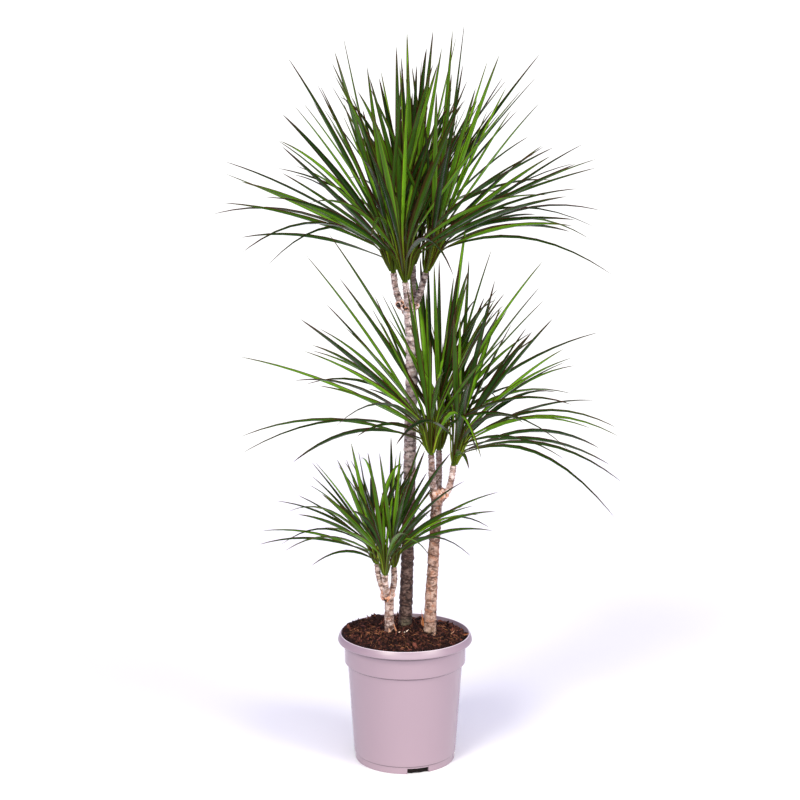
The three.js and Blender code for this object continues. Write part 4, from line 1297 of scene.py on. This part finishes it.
CROWNS = {
    "tall": {
        "leaf": 425, "core": 92, "core_radius": 10, "fill": 21, "youth": 0.0,
        "left": [[-180, 365, 16], [-170, 285, 12], [-190, 270, 12], [-195, 225, 25], [-290, 190, 14],
                 [-290, 170, 6], [-295, 120, 16], [-265, 60, 22], [-220, 10, 50], [-85, 400, 0],
                 [-100, 375, 5], [-120, 280, 18], [-45, 350, 4]],
        "front": [[-210, 230, 5], [-210, 185, 6], [-280, 170, 16], [-180, 215, 8], [-50, 415, 4],
                  [-40, 415, 0], [5, 375, 0], [-40, 175, 40], [-30, 120, 50], [290, 200, 10],
                  [275, 145, 18], [190, 290, 8], [105, 340, 6], [-15, 395, 0]],
        "back": [[-140, 350, 5], [-140, 310, 8], [-75, 325, 4], [-55, 335, 4], [-20, 360, 0],
                 [-10, 400, 4], [35, 405, 0], [15, 355, 0], [50, 375, 0], [75, 395, 5],
                 [220, 365, 12], [245, 205, 10], [320, 170, 12], [285, 80, 20]],
        "right": [[45, 410, 4], [65, 425, 6], [85, 315, 6], [105, 360, 10], [125, 370, 8], [195, 290, 14],
                  [215, 200, 10], [270, 220, 14], [295, 195, 16], [190, 100, 18], [255, 80, 22],
                  [250, 70, 26], [325, -5, 45]],
    },
    "middle": {
        "leaf": 385, "core": 84, "core_radius": 9.5, "fill": 18, "youth": 0.15,
        "left": [[-215, 345, 14], [-180, 260, 8], [-225, 235, 10], [-205, 190, 22], [-220, 180, 16],
                 [-330, 170, 18], [-195, 120, 14], [-330, 30, 38], [-330, 0, 42], [-240, -15, 40],
                 [-130, 30, 24], [-45, 375, 0], [240, 5, 50], [80, 0, 60]],
        "back": [[-175, 305, 10], [-195, 385, 16], [-125, 110, 12], [-340, 25, 32], [-10, 330, 0],
                 [30, 310, 8], [50, 430, 10], [90, 355, 12], [180, 335, 16], [175, 290, 12],
                 [260, 255, 18], [280, 210, 24], [35, 330, 4], [155, 120, 18]],
        "right": [[70, 325, 8], [100, 250, 10], [135, 235, 10], [190, 205, 16], [205, 190, 20],
                  [245, 115, 24], [290, 50, 45], [255, 30, 40], [240, 65, 30], [295, -30, 45],
                  [285, -95, 60], [275, 0, 34], [195, 10, 28], [25, 360, 5]],
    },
    "short": {
        "leaf": 250, "core": 58, "core_radius": 8, "fill": 12, "youth": 0.05,
        "left": [[-70, 190, 8], [-115, 185, 6], [-45, 220, 0], [-115, 160, 10], [-180, 115, 16],
                 [-140, 125, 10], [-140, 90, 12], [-205, 60, 18], [-170, 35, 34], [-210, 35, 20]],
        "front": [[-30, 220, 6], [-40, 185, 5], [-110, 145, 8], [-130, 15, 26], [-105, 85, 14],
                  [-60, 115, 20], [20, 215, 4], [85, 120, 10], [80, 30, 34]],
        "right": [[-25, 205, 4], [55, 210, 8], [100, 205, 12], [50, 225, 22], [125, 155, 14],
                  [185, 135, 16], [180, 100, 18], [175, 65, 20], [140, 110, 12], [15, 175, 4]],
    },
}


# %% Crown feet
def crown_feet():
    """Where each crown starts: a fitting gap beyond its branch, pointing on along the branch."""
    crowns = []
    for head, cane in CANES.items():
        ends = {side: np.array(rows, float)[-2:, :3] * MM for side, rows in cane["branches"].items()}
        middle = np.mean([end[1] for end in ends.values()], axis=0)
        for side, (before, end) in ends.items():
            direction = unit(end - before)
            crowns.append({
                "name": f"crown_{head}_{side}", "head": head, "side": side,
                "foot": end + direction * FIT_GAP, "direction": direction,
                "inward": unit((middle - end) * [1, 1, 0]), "start": SPIRAL["start"] * len(crowns),
            })
    return crowns


def steady_draw(seed):
    """The frame's own repeatable draw, a linear congruence, from 0 to 1."""
    state = seed
    while True:
        state = (state * 1664525 + 1013904223) % 4294967296
        yield state / 4294967296


crowns = crown_feet()
print(len(crowns), "crowns")

# %% [markdown]
# A leaf is told by six things: its root, its tip, how far it is bowed, how it is rolled about its
# length, its width, and its age. In the frame its root lies on the growing tip: steep leaves near the
# top of it, low ones near its foot. Real leaves clasp the stem much further down, so a seventh thing,
# the drop, says how far below its root the leaf's base sits.

# %% Leaf rules
def core_girth(share):
    """The growing tip's girth: as slim as its branch at the foot, fuller, then narrow at the top."""
    swell = 0.62 + 0.38 * np.sin(np.minimum(share / 0.3, 1) * math.pi / 2)
    return swell - 0.62 * np.maximum(0, (share - 0.3) / 0.7) ** 2


BASE_DROP = 0.9                   # of the way from the root to the crown's foot
BASE_INSET = 0.12                 # of the growing tip's radius


def make_leaf(tip, arch, index, crown, head, faced):
    """The frame's rules for a leaf's root, roll and width. A faced leaf shows its face to the viewer."""
    to_tip = tip - crown["foot"]
    steep = math.atan2(to_tip[2] + 2 * arch, math.hypot(to_tip[0], to_tip[1])) / (math.pi / 2)
    share = min(max(0.16 + 0.62 * steep + 0.03 * ((index * 5) % 7), 0.12), 0.94)
    outward = unit(to_tip * [1, 1, 0])
    height, radius = head["core"] * MM * share, head["core_radius"] * MM
    root = crown["foot"] + crown["direction"] * height + outward * ROOT_DEPTH * radius * core_girth(share)
    drop = crown["direction"] * height * BASE_DROP + outward * BASE_INSET * radius
    turned_to_view = math.radians(28 + 9 * (index % 4)) * (1 if to_tip[0] <= 0 else -1)
    roll = turned_to_view if faced else math.radians(24 * math.sin(index * 2.4))
    width = LEAF_WIDTH * (0.82 + 0.06 * ((index * 3) % 4)) * (1 if head["leaf"] > 300 else 0.86)
    return {"root": root, "tip": tip, "arch": arch, "roll": roll, "width": width, "age": 1 - steep,
            "drop": drop, "youth": head["youth"]}


def outline_tips(row, index, crown, head):
    """Where the tip may be: on the line of sight to its place in outline, at several depths."""
    reach, rise = row[0] * MM, row[1] * MM
    flat_tip = crown["foot"] + np.array([reach, 0, rise])
    hidden = math.sqrt(max((head["leaf"] * MM) ** 2 - reach**2 - rise**2, DEPTH_LEAST**2))
    depth = DEPTH_SHARES[index] * min(hidden, DEPTH_MOST)
    share = (crown["foot"][1] + DEPTH_STEPS * depth - VIEW_POINT[1]) / (flat_tip[1] - VIEW_POINT[1])
    return VIEW_POINT + share[:, None] * (flat_tip - VIEW_POINT)


def spiral_tips(index, crown, head, draw):
    """Where the tip may be: along the stem's spiral, or a little to either side of it."""
    age = (index + 0.5) / head["fill"]
    rise = math.radians(SPIRAL["steepest"] - SPIRAL["sweep"] * age + SPIRAL["waver"] * (next(draw) - 0.5))
    full = head["leaf"] * MM * (SPIRAL["shortest"] + (1 - SPIRAL["shortest"]) * next(draw))
    angle = np.radians(137.5 * index + crown["start"] + SIDE_STEPS)
    level = np.stack([np.cos(angle), np.sin(angle), 0 * angle], 1)
    length = full * (1 - SPIRAL["side_loss"] * np.abs(level[:, 0]))
    crowded = level @ crown["inward"] > 0.1
    lift = np.where(crowded, max(rise, math.radians(SPIRAL["crowded_rise"])), rise)
    out, up = (length * np.cos(lift))[:, None], (length * np.sin(lift))[:, None]
    return crown["foot"] + level * out + UP * up, (SPIRAL["arch"] + SPIRAL["sag"] * age * age) * MM


# %% Recognise the frame's leaves
TIP_MATCH = 0.05 * MM


def node_points(name):
    """The corners of one of the frame's solids."""
    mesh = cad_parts[name].data
    flat = np.empty(3 * len(mesh.vertices), np.float32)
    mesh.vertices.foreach_get("co", flat)
    return flat.reshape(-1, 3).astype(float)


def grown_tip(tips, corners):
    """The first of the possible tips that is a corner of the crown's solid, or None."""
    nearest = np.linalg.norm(tips[:, None] - corners, axis=2).min(axis=1)
    found = np.flatnonzero(nearest < TIP_MATCH)
    return tips[found[0]] if len(found) else None


def frame_leaves(crown, number):
    """The crown's large leaves: its rows first, then its spiral, as far as the frame grew them."""
    head, corners = CROWNS[crown["head"]], node_points(crown["name"])
    leaves = []
    for index, row in enumerate(head[crown["side"]]):
        tip = grown_tip(outline_tips(row, index, crown, head), corners)
        if tip is not None:
            leaves.append(make_leaf(tip, row[2] * MM, index, crown, head, True))
    draw = steady_draw(FIRST_SEED + number)
    for index in range(head["fill"]):
        tips, arch = spiral_tips(index, crown, head, draw)
        tip = grown_tip(tips, corners)
        if tip is not None:
            leaves.append(make_leaf(tip, arch, index, crown, head, False))
    return leaves


for number, crown in enumerate(crowns):
    crown["leaves"] = frame_leaves(crown, number)
print("leaves found in the frame", {c["name"]: len(c["leaves"]) for c in crowns})

# %% [markdown]
# Between the large leaves stand the youngest ones, which make the crown dense in the middle. They
# are grown here by the same spiral, steeper and shorter, and a leaf that would run into a cane or
# out of the frame's box is left out.

# %% Young leaves
YOUNG = {"tall": 13, "middle": 7, "short": 4}
YOUNG_SEED = 400
YOUNG_TURN = 64                   # degrees from the first large leaf to the first young one
YOUNG_RISE, YOUNG_SWEEP = 86, 34  # degrees up of the youngest, and how much lower the eldest leans
YOUNG_LENGTH, YOUNG_GAIN = 0.52, 0.4   # of the full length: the youngest, and what the eldest adds
YOUNG_WIDTH = 0.8                 # of a large leaf's width
TRUNK_CLEARANCE = 20 * MM
BOX_CLEARANCE = 3 * MM
NOWHERE = 9                       # metres away, where no trunk stands


def centreline(leaves, t):
    """Points along each leaf: root + (tip-root) t + up * 4 arch t (1-t)."""
    root, tip, arch = (np.array([leaf[key] for leaf in leaves]) for key in ("root", "tip", "arch"))
    t = t[None, :, None]
    return root[:, None] * (1 - t) + tip[:, None] * t + UP * 4 * arch[:, None, None] * t * (1 - t)


def clear_of_canes(leaf):
    """True if the outer part of the leaf stays clear of every trunk's axis and inside the box."""
    line = centreline([leaf], np.linspace(0.3, 1, 30))[0]
    low, high = np.array(cad_low) + BOX_CLEARANCE, np.array(cad_high) - BOX_CLEARANCE
    if (line < low).any() or (line > high).any():
        return False
    for cane in CANES.values():
        rows = np.array(cane["trunk"]) * MM
        x, y = (np.interp(line[:, 2], rows[:, 2], rows[:, k], right=NOWHERE) for k in (0, 1))
        if (np.hypot(line[:, 0] - x, line[:, 1] - y) < TRUNK_CLEARANCE).any():
            return False
    return True


def young_leaves(crown, number):
    """Leaf n stands at n turns of 137.5 degrees, and leans out and grows longer from first to last."""
    head = CROWNS[crown["head"]]
    draw = np.random.default_rng(YOUNG_SEED + number)
    count = YOUNG[crown["head"]]
    leaves = []
    for index in range(count):
        age = (index + 0.5) / count
        angle = GOLDEN_TURN * index + math.radians(crown["start"] + YOUNG_TURN)
        rise = math.radians(YOUNG_RISE - YOUNG_SWEEP * age + draw.uniform(-5, 5))
        length = head["leaf"] * MM * (YOUNG_LENGTH + YOUNG_GAIN * age) * draw.uniform(0.88, 1.08)
        level = np.array([math.cos(angle), math.sin(angle), 0])
        tip = crown["foot"] + level * length * math.cos(rise) + UP * length * math.sin(rise)
        leaf = make_leaf(tip, (2 + 8 * age) * MM, index, crown, head, False)
        leaf["width"] *= YOUNG_WIDTH
        leaf["roll"] = draw.uniform(-0.7, 0.7)
        if clear_of_canes(leaf):
            leaves.append(leaf)
    return leaves


# %% [markdown]
# Two leaves arch over in front of the middle cane's crowns and catch the eye, so their places are
# given. Every leaf also has a chance number, which makes it brighter or duller than its neighbours. It
# is drawn at random, except for these two and a few that stand out in the view.

# %% Leaves in front
FRONT_LEAVES = {                  # tip from the crown's foot in mm, arch in mm, share of width, chance
    "crown_middle_left": [80, -125, 14, 72, 1.3, 0.1],
    "crown_middle_right": [24, -75, 8, 22, 1.6, 0.35],
}
FRONT_ROOT = 12 * MM              # above the crown's foot
FRONT_LEAN = 0.04                 # of the level way to its tip, from the stem to its root
FRONT_DROP = 0.2                  # of the usual drop
KNOWN_CHANCES = {                 # number in its crown, and chance: near 0 bright, near 1 dull
    "crown_tall_front": {26: 0.78}, "crown_middle_right": {24: 0.78}, "crown_short_front": {8: 0.15},
}


def front_leaf(crown):
    """One arching leaf that hangs towards the viewer."""
    x, y, z, arch, width, chance = FRONT_LEAVES[crown["name"]]
    tip = crown["foot"] + np.array([x, y, z]) * MM
    leaf = make_leaf(tip, arch * MM, 0, crown, CROWNS[crown["head"]], True)
    level = (tip - crown["foot"]) * [1, 1, 0]
    leaf["root"] = crown["foot"] + FRONT_ROOT * crown["direction"] + FRONT_LEAN * level
    leaf["drop"] = FRONT_DROP * leaf["drop"]
    leaf["width"] *= width
    leaf["chance"] = chance
    return leaf


for number, crown in enumerate(crowns):
    crown["leaves"] += young_leaves(crown, number)
    if crown["name"] in FRONT_LEAVES:
        crown["leaves"].append(front_leaf(crown))
    for place, chance in KNOWN_CHANCES.get(crown["name"], {}).items():
        crown["leaves"][place]["chance"] = chance
print("leaves in all", sum(len(c["leaves"]) for c in crowns))

# %% [markdown]
# The blade is thin and folded along its middle: a shallow V above, a keel below, and a long point.
# Its base is a narrow neck that lies on the stem, well below the place where the leaf bends away, so
# that the bases of a crown draw together over the branch's end. Six points go round the blade: two
# margins, three points across the V and one on the keel. Fourteen such sections, which stand closer
# together near the neck, and a tip are enough for a smooth curve.

# %% Leaf surface
STATIONS = np.array([0, 0.02, 0.045, 0.08, 0.13, 0.2, 0.29, 0.39, 0.49, 0.59, 0.69, 0.79, 0.88, 0.95])
SECTION = np.array([1.0, 0.5, 0.0, -0.5, -1.0, 0.0])
KEEL_POINT = np.array([0, 0, 0, 0, 0, 1])
BLADE_THICKNESS = 0.6 * MM
SHEATH = 0.075                    # share of a leaf over which it leaves the stem
SHEATH_WIDTH = 0.5 * MM
SHEATH_LOSS = 0.8                 # of the sheath's length that the oldest leaf has lost
NECK_WIDTH = 0.24                 # share of the full width just above the sheath
WIDEST_AT, POINT_FROM = 0.48, 0.38     # shares of the length
BLADE_SHARE = 0.88                # of the frame's leaf width, because the frame's blade is a plain one


def width_share(t):
    """Narrow at the neck, widest near the middle, then straight down to a long point."""
    swell = NECK_WIDTH + (1 - NECK_WIDTH) * np.sin(np.minimum(t / WIDEST_AT, 1) * math.pi / 2)
    return swell * (1 - np.maximum(0, (t - POINT_FROM) / (1 - POINT_FROM))) ** 0.65


def leaf_points(leaves, draw):
    """All the leaves' points at once: centreline + across * half width * u - face normal * fold,
    where the centreline starts lower on the stem by drop * exp(-(t/sheath)^2)."""
    t = STATIONS
    root, tip, roll, width, drop, age = (np.array([leaf[key] for leaf in leaves])
                                         for key in ("root", "tip", "roll", "width", "drop", "age"))
    near_stem = np.exp(-((t / (SHEATH * (1 - SHEATH_LOSS * age[:, None]))) ** 2))
    line = centreline(leaves, t) - drop[:, None] * near_stem[..., None]
    chord = unit_rows(tip - root)
    level = unit_rows(np.cross(UP, chord))
    free = 1 - np.exp(-((t / 0.2) ** 2))
    twist = (roll[:, None] * free + draw.uniform(-0.5, 0.5, (len(leaves), 1)) * t**2)[..., None]
    across = level[:, None] * np.cos(twist) + np.cross(chord, level)[:, None] * np.sin(twist)
    along = unit_rows(np.gradient(line, axis=1))
    face = unit_rows(np.cross(along, across))
    half = 0.5 * BLADE_SHARE * width[:, None] * width_share(t) + SHEATH_WIDTH * near_stem
    fold = half * (0.65 + 0.25 * near_stem)
    lowered = fold[..., None] * (np.abs(SECTION) ** 1.3 - 1)
    under = BLADE_THICKNESS * (1.2 - t)[:, None] * KEEL_POINT
    points = line[:, :, None] + across[:, :, None] * (half[..., None] * SECTION)[..., None]
    points = points + face[:, :, None] * (lowered - under)[..., None]
    ends = np.stack([line[:, 0] - MM * along[:, 0], tip], 1)
    return np.concatenate([points.reshape(len(leaves), -1, 3), ends], 1)


# %% [markdown]
# Color, veins and the dark red margin all follow the leaf, so each blade carries its own map: u runs
# across it, v from root to tip. The upper face uses the left half of the map and the underside the
# right half. Two more numbers go with each leaf, its age and a random one.

# %% Leaf map
def leaf_loops(quads, triangles, count):
    """(u, v) for every corner of every face. Faces next to the keel point take the right half."""
    across = 0.5 - 0.5 * SECTION
    u = np.tile(across, len(STATIONS))
    v = np.repeat(STATIONS, len(SECTION))
    u, v = np.append(u, [0.5, 0.5]), np.append(v, [0.0, 1.0])
    below = np.tile(KEEL_POINT, len(STATIONS))
    below = np.append(below, [0, 0]).astype(bool)
    maps = []
    for faces in (quads, triangles):
        under = below[faces].any(axis=1)[:, None]
        local = np.stack([0.5 * u[faces] + 0.5 * under, v[faces]], -1)
        maps.append(np.tile(local.reshape(-1, 2), (count, 1)))
    return np.concatenate(maps)


def leaf_part(leaves, draw):
    """A crown's blades, and the map of their corners: first all the quads', then the triangles'."""
    points = leaf_points(leaves, draw)
    count, stride = points.shape[:2]
    quads, triangles = skin_faces(len(STATIONS), len(SECTION))
    age = np.repeat([leaf["age"] - leaf["youth"] for leaf in leaves], stride)
    chance = [leaf.get("chance", drawn) for leaf, drawn in zip(leaves, draw.uniform(0, 1, count))]
    values = {"age": age, "chance": np.repeat(chance, stride)}
    loops = leaf_loops(quads, triangles, count)
    quads, triangles = many(quads, count, stride), many(triangles, count, stride)
    return (points.reshape(-1, 3), quads, triangles, values), loops


# %% Growing tip
CORE_RINGS, CORE_SIDES = 40, 24
CORE_SHARE = 0.46                 # of the frame's radius, because the leaf bases lie round it
CORE_TAPER = 0.75                 # of its radius that is gone at the top
TOOTH_LENGTH, TOOTH_DEPTH = 6 * MM, 0.7 * MM
CORE_CHANCE = 0.62                # rather dull


def core_part(crown):
    """The growing tip: rings along its direction on a straight taper, with the edges of old leaf bases
    as small steps: a saw tooth that slants round the stem. The map of its corners is one spot."""
    head = CROWNS[crown["head"]]
    share = np.linspace(0, 1, CORE_RINGS)[:, None]
    angle = np.linspace(0, 2 * math.pi, CORE_SIDES, endpoint=False)[None]
    across = unit(np.cross([0.0, 1.0, 0.0], crown["direction"]))
    other = np.cross(crown["direction"], across)
    length = head["core"] * MM
    tooth = (share * length / TOOTH_LENGTH + 0.5 * np.cos(angle * 2 + share * 31)) % 1
    radius = CORE_SHARE * head["core_radius"] * MM * (1 - CORE_TAPER * share)
    radius = radius + TOOTH_DEPTH * (tooth - 0.5)
    ring = np.cos(angle)[..., None] * across + np.sin(angle)[..., None] * other
    stack = crown["foot"] + share[..., None] * length * crown["direction"] + radius[..., None] * ring
    poles = crown["foot"], crown["foot"] + crown["direction"] * (length + MM)
    count = stack.shape[0] * stack.shape[1] + 2
    quads, triangles = skin_faces(*stack.shape[:2])
    values = {"age": np.zeros(count), "chance": np.full(count, CORE_CHANCE)}
    loops = np.zeros((4 * len(quads) + 3 * len(triangles), 2)) + [0.25, 0.02]
    return (skin_points(stack, *poles), quads, triangles, values), loops


# %% [markdown]
# The leaf finish starts olive at the clasping base and turns green. Young leaves are bright, with a
# yellow base on some, and old ones are dark. Fine veins run the whole length, the green deepens a
# little towards the tip, the margins are a thin dark red line, widened near the neck as painted shade
# between the leaf bases, and the long point is the same dark red. On some leaves the face is waxy in
# patches, which take a broad pale shine.

# %% Leaf finish
LEAF_BRIGHT = (0.18, 0.42, 0.016, 1)
LEAF_DARK = (0.006, 0.023, 0.002, 1)
LEAF_BASE = (0.05, 0.08, 0.004, 1)
LEAF_YOUNG_BASE = (0.25, 0.34, 0.02, 1)
LEAF_MARGIN = (0.05, 0.004, 0.006, 1)
LEAF_UNDER = (0.03, 0.075, 0.012, 1)
LEAF_VEIN = (0.78, 0.8, 0.4, 1)
LEAF_SHADE = (0.003, 0.004, 0.001, 1)
LEAF_SHINE = (0.8, 1, 0.4, 1)
VEINS_ACROSS, VEINS_ALONG = 26.0, 2.2  # noise cells over the map's width and length
MARGIN_REACH = 0.11               # of the leaf's width


def leaf_finish():
    """Bright to dark green by age and chance, then underside, veins, base and the dark red edge."""
    material, tree, shader = new_finish("dracaena leaf")
    place = add_node(tree, "ShaderNodeUVMap", uv_map="leaf map").outputs[0]
    split = add_node(tree, "ShaderNodeSeparateXYZ", {0: place}).outputs
    chance = point_value(tree, "chance")
    underside = calc(tree, "GREATER_THAN", split["X"], 0.5)
    across = calc(tree, "FRACT", times(tree, split["X"], 2.0))
    from_edge = calc(tree, "SUBTRACT", 0.5, calc(tree, "ABSOLUTE", calc(tree, "SUBTRACT", across, 0.5)))
    aged = times(tree, point_value(tree, "age"), 0.45)
    darkness = calc(tree, "ADD", aged, times(tree, chance, 0.75))
    color = blend(tree, between(tree, darkness, 0.02, 0.68), LEAF_BRIGHT, LEAF_DARK)
    color = blend(tree, times(tree, underside, 0.4), color, LEAF_UNDER)
    lengthwise = add_node(tree, "ShaderNodeCombineXYZ", {
        "X": times(tree, across, VEINS_ACROSS), "Y": times(tree, split["Y"], VEINS_ALONG),
        "Z": times(tree, chance, 50.0)}).outputs[0]
    veins = noise(tree, lengthwise, 1.0, 3.0, 0.6)
    color = blend(tree, between(tree, veins, 0.3, 0.7, 0.0, 0.6), color, LEAF_VEIN, "SOFT_LIGHT")
    color = blend(tree, between(tree, split["Y"], 0.25, 0.8, 0.0, 0.25), color, LEAF_SHADE)
    base = between(tree, split["Y"], 0.02, 0.15, 1.0, 0.0)
    young = between(tree, darkness, 0.15, 0.5, 1.0, 0.0)
    color = blend(tree, base, color, blend(tree, young, LEAF_BASE, LEAF_YOUNG_BASE))
    point = between(tree, split["Y"], 0.75, 1.0)
    # painted shade: the dark margin is widened near the neck, which darkens the gaps between leaf bases
    neck = between(tree, split["Y"], 0.05, 0.35, 0.05, 0.0)
    reach = calc(tree, "ADD", calc(tree, "ADD", neck, MARGIN_REACH), times(tree, point, 0.3))
    edge = calc(tree, "DIVIDE", from_edge, reach)
    margin = times(tree, between(tree, edge, 0.8, 1.4, 1.0, 0.0),
                   between(tree, split["Y"], -0.03, 0.03))
    color = blend(tree, times(tree, margin, 0.9), color, LEAF_MARGIN)
    tree.links.new(color, shader.inputs["Base Color"])
    tree.links.new(between(tree, veins, 0.2, 0.8, 0.2, 0.32), shader.inputs["Roughness"])
    shader.inputs["Specular IOR Level"].default_value = 0.12
    shader.inputs["Specular Tint"].default_value = LEAF_SHINE
    patches = between(tree, noise(tree, object_place(tree), 16.0, 2.0), 0.45, 0.6)
    some_leaves = between(tree, calc(tree, "FRACT", times(tree, chance, 7.0)), 0.55, 0.85)
    waxy = times(tree, patches, some_leaves)
    tree.links.new(times(tree, waxy, 0.5), shader.inputs["Coat Weight"])
    shader.inputs["Coat Roughness"].default_value = 0.3
    bump(tree, shader, veins, 0.0003, 0.6)
    return material


LEAF_FINISH = leaf_finish()


# %% Make the crowns
CROWN_SEED = 700


def make_crown(crown, number):
    """Blades and growing tip as one piece. Its corners' map goes quads first, then triangles."""
    draw = np.random.default_rng(CROWN_SEED + number)
    blades, blade_loops = leaf_part(crown["leaves"], draw)
    core, core_loops = core_part(crown)
    whole = joined([blades, core])
    name = crown["name"].replace("crown", "leaves")
    piece = make_piece(name, whole, LEAF_FINISH, crease=50)
    quad_share = [4 * len(part[1]) for part in (blades, core)]
    loops = np.concatenate([blade_loops[:quad_share[0]], core_loops[:quad_share[1]],
                            blade_loops[quad_share[0]:], core_loops[quad_share[1]:]])
    layer = piece.data.uv_layers.new(name="leaf map")
    layer.data.foreach_set("uv", loops.astype(np.float32).ravel())
    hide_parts(crown["name"])


for number, crown in enumerate(crowns):
    make_crown(crown, number)
